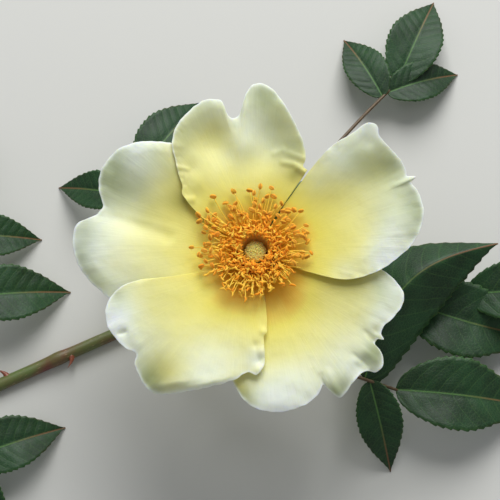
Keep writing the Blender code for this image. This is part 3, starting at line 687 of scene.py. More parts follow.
def young_bark(settings):
    """Young rose bark: smooth green skin, flushed red in streaks, with pale corky pores."""
    mat, tree, shader = new_material("young_bark", Roughness=0.42, IOR=1.45, Coat_Weight=0.15,
                                     Coat_Roughness=0.35)
    run = add(tree, "UVMap", output="UV", uv_map="run")
    place = add(tree, "TexCoord", output="Object")
    patches = add(tree, "TexNoise", {"Vector": place, "Scale": 55.0, "Detail": 4.0})
    flush = add(tree, "MapRange", {0: patches, 1: 0.36, 2: 0.62}, **STEP)
    # Pores about 1 mm long and 2 to 3 mm apart, drawn out along the stem.
    long_way = add(tree, "Mapping", {"Vector": run, "Scale": (9.0, 60.0, 1.0)})
    pores = add(tree, "TexVoronoi", {"Vector": long_way, "Scale": 1.0}, output="Distance")
    spots = add(tree, "MapRange", {0: pores, 1: 0.10, 2: 0.20, 3: 0.5, 4: 0.0}, **STEP)
    skin = rgba(settings.bark)
    for share, over in ((flush, settings.flush), (spots, settings.pore)):
        skin = add(tree, "Mix", {FACTOR: share, FIRST: skin, SECOND: rgba(over)}, **BLEND)
    streaks = add(tree, "Mapping", {"Vector": run, "Scale": (40.0, 30.0, 1.0)})
    lines = add(tree, "TexNoise", {"Vector": streaks, "Scale": 1.0, "Detail": 3.0})
    height = add(tree, "Math", {0: spots, 1: 1.2, 2: lines}, operation="MULTIPLY_ADD")
    bump = add(tree, "Bump", {"Height": height, "Strength": 0.5, "Distance": 0.00015})
    put(shader, {"Base Color": skin, "Normal": bump})
    return mat


def leaf_blade(settings, name, ground, light, roughness):
    """A rose leaflet's leathery blade: satin above and dull below, with a pale midrib and veins.

    The UV map "blade" holds millimetres across from the midrib and the count of side veins.
    """
    mat, tree, shader = new_material(name, Roughness=roughness, Specular_IOR_Level=0.3,
                                     Subsurface_Weight=0.08, Subsurface_Scale=0.0006)
    blade = add(tree, "UVMap", output="UV", uv_map="blade")
    across = add(tree, "SeparateXYZ", {"Vector": blade})
    run = across.node.outputs[1]
    gap = add(tree, "Math", {0: across}, operation="ABSOLUTE")
    midrib = add(tree, "MapRange", {0: gap, 1: 0.10, 2: 0.42, 3: 0.85, 4: 0.0}, **STEP)
    ladder = add(tree, "Math", {0: run, 1: 0.5}, operation="PINGPONG")
    side = add(tree, "MapRange", {0: ladder, 1: 0.0, 2: 0.07, 3: 0.22, 4: 0.0}, **STEP)
    place = add(tree, "TexCoord", output="Object")
    # The net of small veins, 0.9 mm across.
    meshes = add(tree, "TexVoronoi", {"Vector": place, "Scale": 1100.0}, output="Distance",
                 feature="DISTANCE_TO_EDGE")
    net = add(tree, "MapRange", {0: meshes, 1: 0.0, 2: 0.12, 3: 0.16, 4: 0.0}, **STEP)
    cloud = add(tree, "TexNoise", {"Vector": place, "Scale": 90.0, "Detail": 3.0})
    blotch = add(tree, "MapRange", {0: cloud, 1: 0.35, 2: 0.65, 3: 0.0, 4: 0.8}, **STEP)
    # The midrib and the margin turn red towards the tip.
    ruddy = add(tree, "MapRange", {0: run, 1: 4.0, 2: 8.5, 3: 0.0, 4: 0.85}, **STEP)
    vein = rgba(settings.vein)
    rib = add(tree, "Mix", {FACTOR: ruddy, FIRST: vein, SECOND: rgba(settings.red)}, **BLEND)
    edge = add(tree, "Attribute", output="Fac", attribute_name="edge")
    edge = add(tree, "Math", {0: edge, 1: 4.0}, operation="POWER")
    edge = add(tree, "Math", {0: edge, 1: 0.5}, operation="MULTIPLY")
    colour = rgba(ground)
    for share, over in ((blotch, rgba(light)), (net, vein), (side, vein), (midrib, rib),
                        (edge, rib)):
        colour = add(tree, "Mix", {FACTOR: share, FIRST: colour, SECOND: over}, **BLEND)
    sunk = add(tree, "Math", {0: net, 1: 2.0, 2: side}, operation="MULTIPLY_ADD")
    height = add(tree, "Math", {0: sunk, 1: -3.0}, operation="MULTIPLY")
    bump = add(tree, "Bump", {"Height": height, "Strength": 0.35, "Distance": 0.0001})
    put(shader, {"Base Color": colour, "Normal": bump})
    return mat


# Shapes ------------------------------------------------------------------------------

def spline(points, steps):
    """Points of a centripetal Catmull-Rom curve, with so many steps between given points."""
    given = [Vector(p) for p in points]
    given = [2 * given[0] - given[1]] + given + [2 * given[-1] - given[-2]]
    curve = []
    for a, b, c, d in zip(given, given[1:], given[2:], given[3:]):
        t1 = math.sqrt((b - a).length)
        t2 = t1 + math.sqrt((c - b).length)
        t3 = t2 + math.sqrt((d - c).length)
        for step in range(steps):
            t = t1 + (t2 - t1) * step / steps
            ab = a.lerp(b, t / t1)
            bc = b.lerp(c, (t - t1) / (t2 - t1))
            cd = c.lerp(d, (t - t2) / (t3 - t2))
            abc = ab.lerp(bc, t / t2)
            bcd = bc.lerp(cd, (t - t1) / (t3 - t1))
            curve.append(abc.lerp(bcd, (t - t1) / (t2 - t1)))
    curve.append(given[-2])
    return curve


def along(points, share):
    """Point and direction at a share of a polyline's length."""
    runs = [(b - a).length for a, b in zip(points, points[1:])]
    left = min(share, 1.0) * sum(runs)
    for a, b, run in zip(points, points[1:], runs):
        if left <= run:
            break
        left -= run
    return a.lerp(b, min(1.0, left / run)), (b - a).normalized()


def placed(point):
    """A point in metres, from its place in the bloom's plan and its height over the floor."""
    return Vector((point.x * MM + FLOWER_ORIGIN.x, point.y * MM + FLOWER_ORIGIN.y, point.z * MM))


def in_scene(name, data):
    """A new object of the scene with this data."""
    obj = bpy.data.objects.new(name, data)
    bpy.context.scene.collection.objects.link(obj)
    return obj


def as_mesh(bm, name):
    """The bmesh as a mesh, and the bmesh is freed."""
    mesh = bpy.data.meshes.new(name)
    bm.to_mesh(mesh)
    bm.free()
    return mesh


def seal(bm):
    """Merge doubled points and turn the faces outwards."""
    bmesh.ops.remove_doubles(bm, verts=bm.verts, dist=MERGE)
    bmesh.ops.recalc_face_normals(bm, faces=bm.faces)


def finish(bm, name, slot, node, *materials):
    """Make a piece of a mesh, smooth, riding on the shoot and standing for its CAD node."""
    mesh = as_mesh(bm, name)
    mesh.shade_smooth()
    for mat in materials:
        mesh.materials.append(mat)
    obj = in_scene(name, mesh)
    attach(obj, "root")
    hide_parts(node)
    return obj


def thicken(obj, thickness, underside=0):
    """Give a sheet its thickness, half to each side, and its underside another material."""
    solidify = obj.modifiers.new("Thickness", "SOLIDIFY")
    solidify.thickness = thickness
    solidify.offset = 0.0
    solidify.material_offset = underside


def tubes(strands, sides=1):
    """A mesh of round bars along strands of (point, radius), in millimetres."""
    curve = bpy.data.curves.new("strands", "CURVE")
    curve.dimensions = "3D"
    curve.bevel_depth = MM
    curve.bevel_resolution = sides
    curve.use_fill_caps = True
    for strand in strands:
        line = curve.splines.new("POLY")
        line.points.add(len(strand) - 1)
        for point, (position, radius) in zip(line.points, strand):
            point.co = (*placed(position), 1.0)
            point.radius = radius
    guide = in_scene("strands", curve)
    bpy.context.view_layer.update()
    depsgraph = bpy.context.evaluated_depsgraph_get()
    mesh = bpy.data.meshes.new_from_object(guide.evaluated_get(depsgraph))
    bpy.data.objects.remove(guide)
    bpy.data.curves.remove(curve)
    bm = bmesh.new()
    bm.from_mesh(mesh)
    bpy.data.meshes.remove(mesh)
    seal(bm)
    for face in bm.faces:
        face.material_index = 0
    return bm


def turned(profile, steps):
    """A solid turned round the bloom's axis from a profile of (radius, height)."""
    bm = bmesh.new()
    verts = [bm.verts.new((radius * MM, 0, height * MM)) for radius, height in profile]
    for a, b in zip(verts, verts[1:]):
        bm.edges.new((a, b))
    bmesh.ops.spin(bm, geom=bm.verts[:] + bm.edges[:], axis=(0, 0, 1), cent=(0, 0, 0), steps=steps,
                   angle=2 * math.pi, use_merge=True)
    seal(bm)
    bmesh.ops.translate(bm, verts=bm.verts, vec=FLOWER_ORIGIN)
    return bm


def stamp(bm, template, matrix, material_index=0):
    """Add a copy of a small template mesh, in millimetres of the bloom's frame, to a mesh."""
    copy = template.copy()
    copy.transform(Matrix.Translation(FLOWER_ORIGIN) @ Matrix.Scale(MM, 4) @ matrix)
    for face in copy.polygons:
        face.material_index = material_index
    bm.from_mesh(copy)
    bpy.data.meshes.remove(copy)


def template(name, segments, rings, shape):
    """A small closed form of unit length along X, whose points are moved by a shape function.

    The shape function gives a point's new place and how deep it lies in a groove.
    """
    bm = bmesh.new()
    groove = bm.verts.layers.float.new("groove")
    bmesh.ops.create_uvsphere(bm, u_segments=segments, v_segments=rings, radius=0.5,
                              matrix=Matrix.Rotation(math.pi / 2, 4, "Y"))
    for vert in bm.verts:
        vert.co, vert[groove] = shape(*vert.co)
    bmesh.ops.recalc_face_normals(bm, faces=bm.faces)
    return as_mesh(bm, name)


def open_anther(x, y, z):
    """Two broad lobes side by side, with a groove between them on the upper side."""
    width, height, height_in_groove, droop = 0.66, 0.50, 0.28, 0.35
    deep = 1.0 if abs(y) < 0.02 and z > 0.1 else 0.0
    return Vector((x, y * width, z * (height_in_groove if deep else height) - droop * x * x)), deep


def young_anther(x, y, z):
    """A slender crescent, still closed."""
    width, height = 0.30, 0.30
    return Vector((x, y * width + x * x, z * height)), 0.0


def stigma(x, y, z):
    """A small round head."""
    return Vector((x, y, z)), 0.0


def make_petal(petal, number, settings, mat):
    """A fan of cells from the claw to the margin, with ripples and pleats near the margin."""
    centre = (petal.margin[0][0] + petal.margin[-1][0]) / 2
    outline = spline([polar(*point) for point in petal.margin], MARGIN_STEPS)
    columns = MARGIN_COLUMNS
    edges = []
    farthest = -math.inf
    for column in range(columns + 1):
        point = along(outline, column / columns)[0]
        length = point.length + NICK_DEPTH * waves(point, NICK_SIZE, number)
        farthest = max(angle_near(point, centre), farthest + ANGLE_STEP)
        edges.append((farthest, length))
    ripple = settings.ripple / MM
    pleat = settings.pleat / MM
    bm = bmesh.new()
    bmesh.ops.create_grid(bm, x_segments=columns, y_segments=PETAL_ROWS, size=0.5)
    fan = bm.loops.layers.uv.new("fan")
    reach_layer, rim_highlight_layer, painted_shade_layer = (bm.verts.layers.float.new(name)
                                          for name in ("reach", "rim", "painted_shade"))
    for face in bm.faces:
        for loop in face.loops:
            loop[fan].uv = (loop.vert.co.x + 0.5, loop.vert.co.y + 0.5)
    for vert in bm.verts:
        column = round((vert.co.x + 0.5) * columns)
        share = 1 - (0.5 - vert.co.y) ** ROW_POWER
        edge_angle, length = edges[column]
        foot = centre + CLAW_HALF_SPAN * (2 * column / columns - 1)
        ease = petal.first_ease + (FAN_EASE - petal.first_ease) * column / columns
        angle = between(foot, edge_angle, (1 + ease) * share / (share + ease))
        reach = between(CLAW_REACH, length, share)
        flat = polar(angle, reach)
        inset = length - reach
        height = petal.height(angle, reach, inset)
        near = math.exp(-inset / RIPPLE_FADE) * smooth(reach, RIPPLE_START, RIPPLE_FULL)
        wave = waves(flat, RIPPLE_SIZE, number + 7.0)
        outwards = smooth(reach, SWELL_START, SWELL_FULL)
        swell = waves(flat, SWELL_SIZE, number + 31.0) * outwards
        crinkle = waves(flat, CRINKLE_SIZE, number + 53.0) * outwards
        height += ripple * near * wave + SWELL_RISE * swell + CRINKLE_RISE * crinkle
        patch = max(0.0, noise.noise((edge_angle / PLEAT_PATCH, number, 3.0)) + PLEAT_COVER)
        ridge = math.sin(math.radians(angle) * PLEATS + PLEAT_SWAY * wave)
        fade = math.exp(-inset / PLEAT_FADE)
        height += pleat * ridge * patch * fade * smooth(reach, PLEAT_START, PLEAT_FULL)
        # A pale line along the margin, partly a painted highlight.
        pale = RIM_STRENGTH * bell(inset, RIM_WIDTH) * smooth(reach, RIM_START, RIM_FULL)
        # The colour's place along the petal, shifted by patches of its own tone and of painted
        # light and shade.
        vert[reach_layer] = reach / LONGEST_REACH + patched(petal.tone_and_painted_light, angle, reach)
        vert[rim_highlight_layer] = pale
        # Patches of painted shade.
        vert[painted_shade_layer] = min(1.0, patched(petal.painted_shade, angle, reach))
        vert.co = Vector((flat.x, flat.y, height)) * MM + FLOWER_ORIGIN
    bmesh.ops.recalc_face_normals(bm, faces=bm.faces)
    thicken(finish(bm, petal.name + "_bloom", "petal_tissue", petal.name, mat), settings.thickness)


class ROSE_OT_petals(bpy.types.Operator):
    """Model the five petals"""
    bl_idname = "rose.petals"
    bl_label = "Petals"

    def execute(self, context):
        settings = context.scene.rose_petals
        mat = petal_tissue(settings)
        for number, petal in enumerate(PETALS):
            make_petal(petal, number, settings, mat)
        return {"FINISHED"}


class ROSE_OT_centre(bpy.types.Operator):
    """Model the stamens on their disc, and the head of styles"""
    bl_idname = "rose.centre"
    bl_label = "Stamens and Styles"

    def execute(self, context):
        settings = context.scene.rose_centre
        rng = random.Random(11)
        strands = []
        anthers = bmesh.new()
        anthers.verts.layers.float.new("groove")
        opened = template("open_anther", 8, 6, open_anther)
        young = template("young_anther", 6, 8, young_anther)
        length = settings.anther_length / MM
        radius = settings.filament_radius / MM
        for number in range(settings.stamens):
            share = (number + 0.5) / settings.stamens
            turn = number * GOLDEN_ANGLE + rng.uniform(-0.2, 0.2)
            spoke = Vector((math.cos(turn), math.sin(turn), 0))
            line = self.filament(share, spoke, rng)
            last = len(line) - 1
            strands.append([(point + Vector((0, 0, FLOWER_BASE)), radius * (1.25 - 0.45 * i / last))
                            for i, point in enumerate(line)])
            outer = share > OUTER_HALF
            low_side = spoke.y < LOW_SIDE
            withered = (outer and spoke.x > WITHERED_RIGHT
                        and WITHERED_LOW < spoke.y < WITHERED_HIGH)
            draw = rng.random()
            if withered and draw < LOST_SHARE:
                continue
            way = line[-1] - line[-2]
            heading = math.atan2(way.y, way.x)
            if share > OPEN_SHARE and not low_side:
                mesh, kind = opened, RIPE if draw < RIPE_SHARE else FRESH
                size = rng.uniform(*OPEN_SIZES)
                heading += rng.uniform(-SWING_OPEN, SWING_OPEN)
                pitch, roll = rng.uniform(*PITCH_OPEN), rng.gauss(0, ROLL_OPEN)
            else:
                dusted = DUSTED_SHARE_LOW if low_side and outer else DUSTED_SHARE
                mesh, kind = young, DUSTED if draw < dusted else FRESH
                size = rng.uniform(*YOUNG_SIZES)
                heading += rng.uniform(-math.pi, math.pi)
                pitch = rng.uniform(-PITCH_YOUNG, PITCH_YOUNG)
                roll = rng.uniform(-ROLL_YOUNG, ROLL_YOUNG)
            facing = (Matrix.Rotation(heading, 4, "Z") @ Matrix.Rotation(pitch, 4, "Y")
                      @ Matrix.Rotation(roll, 4, "X") @ Matrix.Scale(length * size, 4))
            stamp(anthers, mesh, Matrix.Translation(line[-1]) @ facing, kind)
        bpy.data.meshes.remove(opened)
        bpy.data.meshes.remove(young)
        finish(tubes(strands), "filaments", "stamen_gold", "stamens", filament_tissue(settings))
        finish(anthers, "anthers", "stamen_gold", "stamens",
               *(pollen_sacs("anther_" + kind, getattr(settings, kind), settings.groove)
                 for kind in ("fresh", "ripe", "dusted")))
        finish(turned(DISC_SECTION, 48), "disc", "stamen_gold", "stamens",
               plain_tissue("disc_tissue", settings.disc, 0.5, 0.5))
        self.styles(settings, rng)
        return {"FINISHED"}

    def filament(self, share, spoke, rng):
        """A thread from the disc's crest up and outwards, the outer ones longer and flatter."""
        aside = Vector((-spoke.y, spoke.x, 0))
        foot = spoke * between(FOOT_INNER[0], FOOT_OUTER[0], share)
        foot.z = between(FOOT_INNER[1], FOOT_OUTER[1], share) - FOOT_DEPTH
        farthest = SPREAD + SPREAD_UP * spoke.y - SPREAD_LEFT * spoke.x
        power = SPREAD_POWER + SPREAD_POWER_UP * spoke.y
        reach = between(PIT_RADIUS, farthest, share ** power)
        reach += rng.uniform(-SCATTER_OUT, SCATTER_OUT)
        nearest = PIT_RADIUS - 0.1 + PIT_NARROWING * min(0.0, spoke.y)
        tip = spoke * max(nearest, reach) + aside * rng.uniform(-SCATTER_ASIDE, SCATTER_ASIDE)
        fall = (ANTHER_FALL + ANTHER_FALL_UP * spoke.y) * share ** 2
        tip.z = ANTHER_TOP - fall + rng.uniform(-0.8, 0.5)
        tip.z -= PIT_DROP * (1 - smooth(share, 0, PIT_SLOPE))
        tip.z = max(tip.z, 2.4 + 0.4 * reach)   # clear of the petals, which rise outwards
        elbow = foot.lerp(tip, 0.5) + Vector((0, 0, 0.6 + rng.uniform(-0.5, 1.0)))
        elbow += aside * rng.uniform(-1.0, 1.0)
        return spline([foot, elbow, tip], 4)

    def styles(self, settings, rng):
        """The column of styles and its domed head, covered with stigmas."""
        top, radius = STYLE_HEAD_TOP, STYLE_HEAD_RADIUS
        foot = HIP_RIM_TOP + 0.35
        profile = ((0, top - 0.25), (radius * 0.45, top - 0.35), (radius * 0.75, top - 0.7),
                   (radius - 0.25, top - 1.3), (radius - 0.2, top - 2.4), (radius - 0.6, top - 3.2),
                   (2.2, foot), (0, foot))
        tissue = plain_tissue("style_tissue", settings.style, 0.7, 0.4, 0.12, 0.0005,
                              Sheen_Weight=0.4)
        finish(turned(profile, 32), "style_column", "style_green", "styles", tissue)
        heads = bmesh.new()
        heads.verts.layers.float.new("groove")
        mesh = template("stigma", 6, 5, stigma)
        for number in range(settings.stigmas):
            share = (number + 0.5) / settings.stigmas
            slope = math.acos(1 - share) + rng.uniform(-0.05, 0.05)
            turn = number * GOLDEN_ANGLE + rng.uniform(-0.2, 0.2)
            out = Vector((math.sin(slope) * math.cos(turn), math.sin(slope) * math.sin(turn),
                          math.cos(slope)))
            place = Vector((out.x * (radius - STIGMA_BED), out.y * (radius - STIGMA_BED),
                            top - STIGMA_DOME_FOOT + out.z * STIGMA_DOME))
            place += out * rng.uniform(-0.12, 0.15)
            size = Matrix.Diagonal((*(rng.uniform(0.4, 0.75) for _ in "xyz"), 1.0))
            stamp(heads, mesh, Matrix.Translation(place) @ size)
        bpy.data.meshes.remove(mesh)
        finish(heads, "stigmas", "style_green", "styles", tissue)


class ROSE_OT_calyx(bpy.types.Operator):
    """Model the hip and the five sepals under the petals"""
    bl_idname = "rose.calyx"
    bl_label = "Hip and Sepals"

    def execute(self, context):
        skin = plain_tissue("calyx_skin", context.scene.rose_stem.calyx, 0.5, 0.1, 0.3, 0.0008)
        foot = -HIP_DEPTH - 0.7
        rim = ((0, DISC_BOTTOM), (5.6, DISC_BOTTOM), (6.7, 2.6), (7.0, 2.3))
        flanks = spline([(HIP_RADIUS, 0, 0.6), (5.2, 0, -0.8), (5.5, 0, -3.2), (4.9, 0, -6.0),
                         (3.2, 0, -8.6), (1.75, 0, -HIP_DEPTH - 0.3), (1.5, 0, foot)], 4)
        profile = [*rim, *((p.x, p.z) for p in flanks), (0, foot)]
        finish(turned(profile, 48), "hip_skin", "green_skin", "hip", skin)
        for number, angle in enumerate(SEPAL_ANGLES, 1):
            self.sepal(number, angle, skin)
        return {"FINISHED"}

    def sepal(self, number, angle, skin):
        """A pointed blade with a keel, a curled margin and a drawn-out tip."""
        foot = HIP_RADIUS - 0.25
        turn = Matrix.Rotation(math.radians(angle), 4, "Z")
        bm = bmesh.new()
        bmesh.ops.create_grid(bm, x_segments=30, y_segments=8, size=0.5)
        for vert in bm.verts:
            share = vert.co.x + 0.5
            side = vert.co.y * 2
            half = SEPAL_WIDTH / 2 * (1 - share) ** 0.85 * (1 + 0.9 * share * (1 - share))
            half = half + 0.3 * (1 - share) + SEPAL_TIP
            height = 0.6 - SEPAL_DROOP * share ** 2 + SEPAL_EDGE_RISE * side * side
            height -= SEPAL_KEEL * bell(side, 0.25)
            height += 0.2 * noise.noise((share * 7, side * 2, number))
            vert.co = turn @ (Vector((foot + SEPAL_LENGTH * share, side * half, height)) * MM)
        bmesh.ops.translate(bm, verts=bm.verts, vec=FLOWER_ORIGIN)
        bmesh.ops.recalc_face_normals(bm, faces=bm.faces)
        node = f"sepal_{number}"
        thicken(finish(bm, node + "_blade", "green_skin", node, skin), SEPAL_THICKNESS * MM)


def cane_line():
    """The coarse centre line and radii of the cane, and the index where its stalk bends up."""
    path = spline(CANE_PATH, CANE_STEPS)
    last = len(path) - 1
    taper = STEM_RADIUS_TOP - STEM_RADIUS_CUT
    radii = [STEM_RADIUS_CUT + taper * i / last for i in range(last + 1)]
    for point, radius in zip(path, radii):
        point.z = max(point.z, radius)
    split = next(i for i, point in enumerate(path) if point.z > BEND_HEIGHT)
    return path, radii, split


class ROSE_OT_cane(bpy.types.Operator):
    """Model the lying stem with its prickles, and the stalk that bends up to the bloom"""
    bl_idname = "rose.cane"
    bl_label = "Stem and Stalk"

    def execute(self, context):
        settings = context.scene.rose_stem
        bark = young_bark(settings)
        path, radii, split = cane_line()
        middle = (path[split] + path[split + 1]) / 2
        lap = (path[split + 1] - path[split]).normalized() * CANE_LAP
        lying = path[:split + 1] + [middle + lap]
        rising = [middle - lap] + path[split + 1:]
        stem = self.barked(lying, radii[:split + 2], [node[0] for node, _, _ in LEAVES.values()])
        way = (path[1] - path[0]).normalized()
        for face in stem.faces:     # the flat cut shows the wood
            face.material_index = int(face.normal.dot(way) < -0.9)
        finish(stem, "stem_bark", "stem_bark", "stem", bark,
               plain_tissue("cut_wood", settings.wood, 0.7, 0.1, 0.25, 0.0005))
        flare = radii[split + 1:-1] + [radii[-1], STALK_RADIUS_TOP]
        finish(self.barked(rising, flare, ()), "stalk_skin", "green_skin", "flower_stalk", bark)
        self.prickles(path[:split + 1], settings)
        return {"FINISHED"}

    def barked(self, points, radii, knots):
        """A round bar on a fine curve through the points, with swollen nodes and shallow ridges."""
        line = spline(points, BARK_STEPS)
        total = len(line) - 1
        strand = []
        for i, point in enumerate(line):
            place = min(i / BARK_STEPS, len(radii) - 1.0)
            index = min(int(place), len(radii) - 2)
            radius = between(radii[index], radii[index + 1], place - index)
            share = i / total
            if 0.02 < share < 0.98:
                radius += sum(KNOT_SWELL * bell(share - knot, KNOT_SHARE) for knot in knots)
            point.z = max(point.z, radius)
            strand.append((point, radius))
        bm = tubes([strand], 6)
        run = bm.loops.layers.uv.new("run")
        for vert in bm.verts:
            grain = noise.noise([at / size for at, size in zip(vert.co / MM, RIDGE_SIZE)])
            vert.co += vert.normal * (RIDGE_HEIGHT * grain * MM)
        centres = [placed(point) for point in line]
        for face in bm.faces:
            for loop in face.loops:
                here = loop.vert.co
                nearest = min(range(total + 1), key=lambda i: (centres[i] - here).length_squared)
                spoke = here - centres[nearest]
                loop[run].uv = (abs(math.atan2(spoke.y, spoke.z)) / math.pi, nearest / total)
        return bm

    def prickles(self, path, settings):
        """Prickles with a broad foot, swept back towards the cut end of the stem."""
        strands = []
        for share, turn in PRICKLES:
            foot, way = along(path, share)
            side = way.cross(Vector((0, 0, 1))).normalized()
            out = side * math.sin(math.radians(turn))
            out.z += math.cos(math.radians(turn))
            strand = []
            for i in range(PRICKLE_STEPS + 1):
                t = i / PRICKLE_STEPS
                point = foot + out * (PRICKLE_DEPTH + PRICKLE_LENGTH * 0.85 * t)
                point -= way * (0.4 + PRICKLE_HOOK * t ** 2)
                strand.append((point, PRICKLE_RADIUS * (1.25 * (1 - t) ** 1.5 + 0.05)))
            strands.append(strand)
        horn = plain_tissue("prickle_horn", settings.prickle, 0.35, 0.1, 0.2, 0.0006)
        finish(tubes(strands, 3), "prickle_set", "stem_bark", "stem", horn)


class ROSE_OT_leaves(bpy.types.Operator):
    """Model the compound leaves, each as one piece"""
    bl_idname = "rose.leaves"
    bl_label = "Leaves"

    def execute(self, context):
        settings = context.scene.rose_leaves
        upper = leaf_blade(settings, "leaf_upper_side", settings.blade, settings.blush, 0.46)
        lower = leaf_blade(settings, "leaf_lower_side", settings.below, settings.below, 0.62)
        stalk = plain_tissue("leaf_stalk", settings.stalk, 0.45, 0.1, 0.3, 0.0012)
        for number, (name, (node, points, leaflets)) in enumerate(LEAVES.items()):
            rachis = self.rachis(node, points)
            self.stalk(name, rachis, stalk)
            bm = bmesh.new()
            blade = bm.loops.layers.uv.new("blade")
            edge = bm.verts.layers.float.new("edge")
            for leaflet in leaflets:
                self.leaflet(bm, blade, edge, rachis, settings.teeth, number, *leaflet)
            obj = finish(bm, name + "_blades", "leaf_blade", name, upper, lower)
            thicken(obj, settings.thickness, 1)
        return {"FINISHED"}

    def rachis(self, node, points):
        """The leaf's stalk, which leaves the stem square to it."""
        path, stem_radii, split = cane_line()
        share, side = node
        start, way = along(path[:split + 1], share)
        aside = Vector((-way.y, way.x, 0)).normalized() * side
        out = (aside * PETIOLE_SPREAD + way.cross(aside) * side * PETIOLE_LIFT).normalized()
        foot = start + out * (between(STEM_RADIUS_CUT, stem_radii[split], share) - PETIOLE_DEPTH)
        return spline([foot, foot + out * (PETIOLE_DEPTH + PETIOLE_STUB), *points], 2)

    def stalk(self, name, rachis, mat):
        """The rachis as a fine tapering bar with a swollen foot."""
        line = spline(rachis, 4)
        last = len(line) - 1
        strand = [(point, RACHIS_RADIUS * (1.15 - 0.55 * i / last + 0.35 * bell(i / last, 0.05)))
                  for i, point in enumerate(line)]
        finish(tubes([strand], 3), name + "_stalk", "leaf_blade", name, mat)

    def leaflet(self, bm, blade, edge, rachis, teeth, seed, place, turn, length, tip_height=REST,
                bow=0.0, left=FOLD, right=FOLD):
        """A toothed blade, folded along its midrib and quilted between its veins."""
        foot, way = along(rachis, place)
        heading = math.atan2(way.y, way.x) + math.radians(turn)
        ahead = Vector((math.cos(heading), math.sin(heading), 0))
        across = Vector((-math.sin(heading), math.cos(heading), 0))
        tip = foot + ahead * length
        tip.z = tip_height
        half_width = LEAFLET_WIDTH_SHARE * length / 2
        old_verts, old_faces = len(bm.verts), len(bm.faces)
        bmesh.ops.create_grid(bm, x_segments=LEAFLET_ROWS, y_segments=LEAFLET_COLUMNS, size=0.5)
        bm.verts.ensure_lookup_table()
        bm.faces.ensure_lookup_table()
        spots = {}
        for vert in bm.verts[old_verts:]:
            share = vert.co.x + 0.5
            side = vert.co.y * 2
            fold = left if side > 0 else right
            swell = math.sin(math.pi * share ** 0.85)
            half = max(0.2, half_width * max(0.0, swell) ** (0.6 + 0.5 * share))
            tooth = (share * teeth) % 1.0 - TOOTH_MIDDLE
            arch = math.sin(math.pi * share)
            ease = arch ** 0.5
            toothed = smooth(abs(side), TOOTH_START, 1 - TOOTH_START)
            half += TOOTH_DEPTH * tooth * ease * toothed * length / TOOTH_LENGTH
            centre = foot.lerp(tip, share)
            centre += across * bow * length * arch
            centre.z += LEAFLET_ARCH_SHARE * length * arch
            gap = abs(side) * half
            point = centre + across * side * half / math.hypot(1, fold)
            run = (share * length - VEIN_SLANT * gap - VEIN_CURVE * gap * gap) * VEINS / length
            quilt = abs(math.sin(math.pi * run))
            point.z += gap * fold / math.hypot(1, fold)
            point.z += QUILT_RISE * ease * quilt * smooth(gap, 0, 2) - RIB_GROOVE * bell(gap, 0.5)
            point.z += BUCKLE_RISE * ease * waves(point, BUCKLE_SIZE, seed) * smooth(gap, 0, 5)
            point.z = max(point.z, LOWEST)
            spots[vert] = (side * half, run)
            vert[edge] = smooth(abs(side), EDGE_START, EDGE_FULL)
            vert.co = placed(point)
        for face in bm.faces[old_faces:]:
            for loop in face.loops:
                loop[blade].uv = spots[loop.vert]


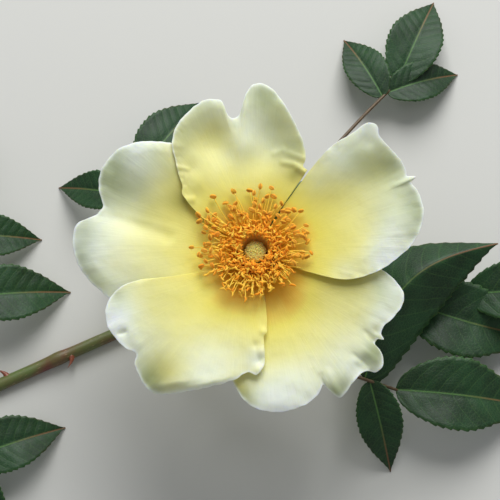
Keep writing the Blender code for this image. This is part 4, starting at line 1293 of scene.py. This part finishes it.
class ROSE_OT_stage(bpy.types.Operator):
    """Set the floor, the soft lights and the camera over the bloom"""
    bl_idname = "rose.stage"
    bl_label = "Stage"

    def execute(self, context):
        settings = context.scene.rose_stage
        self.floor(settings)
        self.lights(settings)
        self.camera(settings)
        context.scene.view_settings.view_transform = "Standard"
        return {"FINISHED"}

    def floor(self, settings):
        """A plain matt floor."""
        bm = bmesh.new()
        bmesh.ops.create_grid(bm, x_segments=1, y_segments=1, size=2.0)
        floor = in_scene("floor", as_mesh(bm, "floor"))
        mat = new_material("floor_paper", Base_Color=rgba(settings.floor), Roughness=0.9)[0]
        floor.data.materials.append(mat)

    def lights(self, settings):
        """A large softbox high behind the bloom, and an even pale room."""
        lamp = bpy.data.lights.new("key", "AREA")
        lamp.shape = "SQUARE"
        lamp.size = LAMP_SIZE
        lamp.energy = settings.key
        key = in_scene("key", lamp)
        key.location = FLOWER_ORIGIN + Vector(LAMP_PLACE)
        key.rotation_euler = (FLOWER_ORIGIN - key.location).to_track_quat("-Z", "Y").to_euler()
        world = bpy.data.worlds.new("room")
        bpy.context.scene.world = world
        world.use_nodes = True
        put(world.node_tree.nodes["Background"],
            {"Color": (0.93, 0.96, 1.0, 1.0), "Strength": settings.fill})

    def camera(self, settings):
        """A long lens that looks steeply down on the bloom."""
        lens = bpy.data.cameras.new("camera")
        lens.lens = settings.lens
        lens.sensor_width = 36.0
        camera = in_scene("camera", lens)
        tilt = math.pi / 2 - settings.elevation
        back = Vector((0, -math.sin(tilt), math.cos(tilt)))
        up = Vector((0, math.cos(tilt), math.sin(tilt)))
        aim = FLOWER_ORIGIN + up * (AIM_UP * MM) - Vector((AIM_LEFT * MM, 0, 0))
        camera.location = aim + back * settings.distance
        camera.rotation_euler = (tilt, 0, 0)
        bpy.context.scene.camera = camera


# Each group of settings under its name in the scene, with the operators that use it.
GROUPS = (
    ("rose_petals", PetalSettings, (ROSE_OT_petals,)),
    ("rose_centre", CentreSettings, (ROSE_OT_centre,)),
    ("rose_stem", StemSettings, (ROSE_OT_calyx, ROSE_OT_cane)),
    ("rose_leaves", LeafSettings, (ROSE_OT_leaves,)),
    ("rose_stage", StageSettings, (ROSE_OT_stage,)),
)


class ROSE_PT_panel(bpy.types.Panel):
    """Lists the pieces of the shoot, to be made one by one"""
    bl_idname = "ROSE_PT_panel"
    bl_label = "Cut Rose Shoot"
    bl_space_type = "VIEW_3D"
    bl_region_type = "UI"
    bl_category = "Rose"

    def draw(self, context):
        for name, group, operators in GROUPS:
            box = self.layout.box()
            for prop in group.__annotations__:
                box.prop(getattr(context.scene, name), prop)
            for operator in operators:
                box.operator(operator.bl_idname)


CLASSES = [cls for _, group, operators in GROUPS for cls in (group, *operators)] + [ROSE_PT_panel]


def register():
    for cls in CLASSES:
        bpy.utils.register_class(cls)
    for name, group, _ in GROUPS:
        setattr(bpy.types.Scene, name, PointerProperty(type=group))


def unregister():
    for name, _, _ in GROUPS:
        delattr(bpy.types.Scene, name)
    for cls in reversed(CLASSES):
        bpy.utils.unregister_class(cls)


def main():
    register()
    bpy.ops.rose.petals()
    bpy.ops.rose.centre()
    bpy.ops.rose.calyx()
    bpy.ops.rose.cane()
    bpy.ops.rose.leaves()
    bpy.ops.rose.stage()


if __name__ == "__main__":
    main()
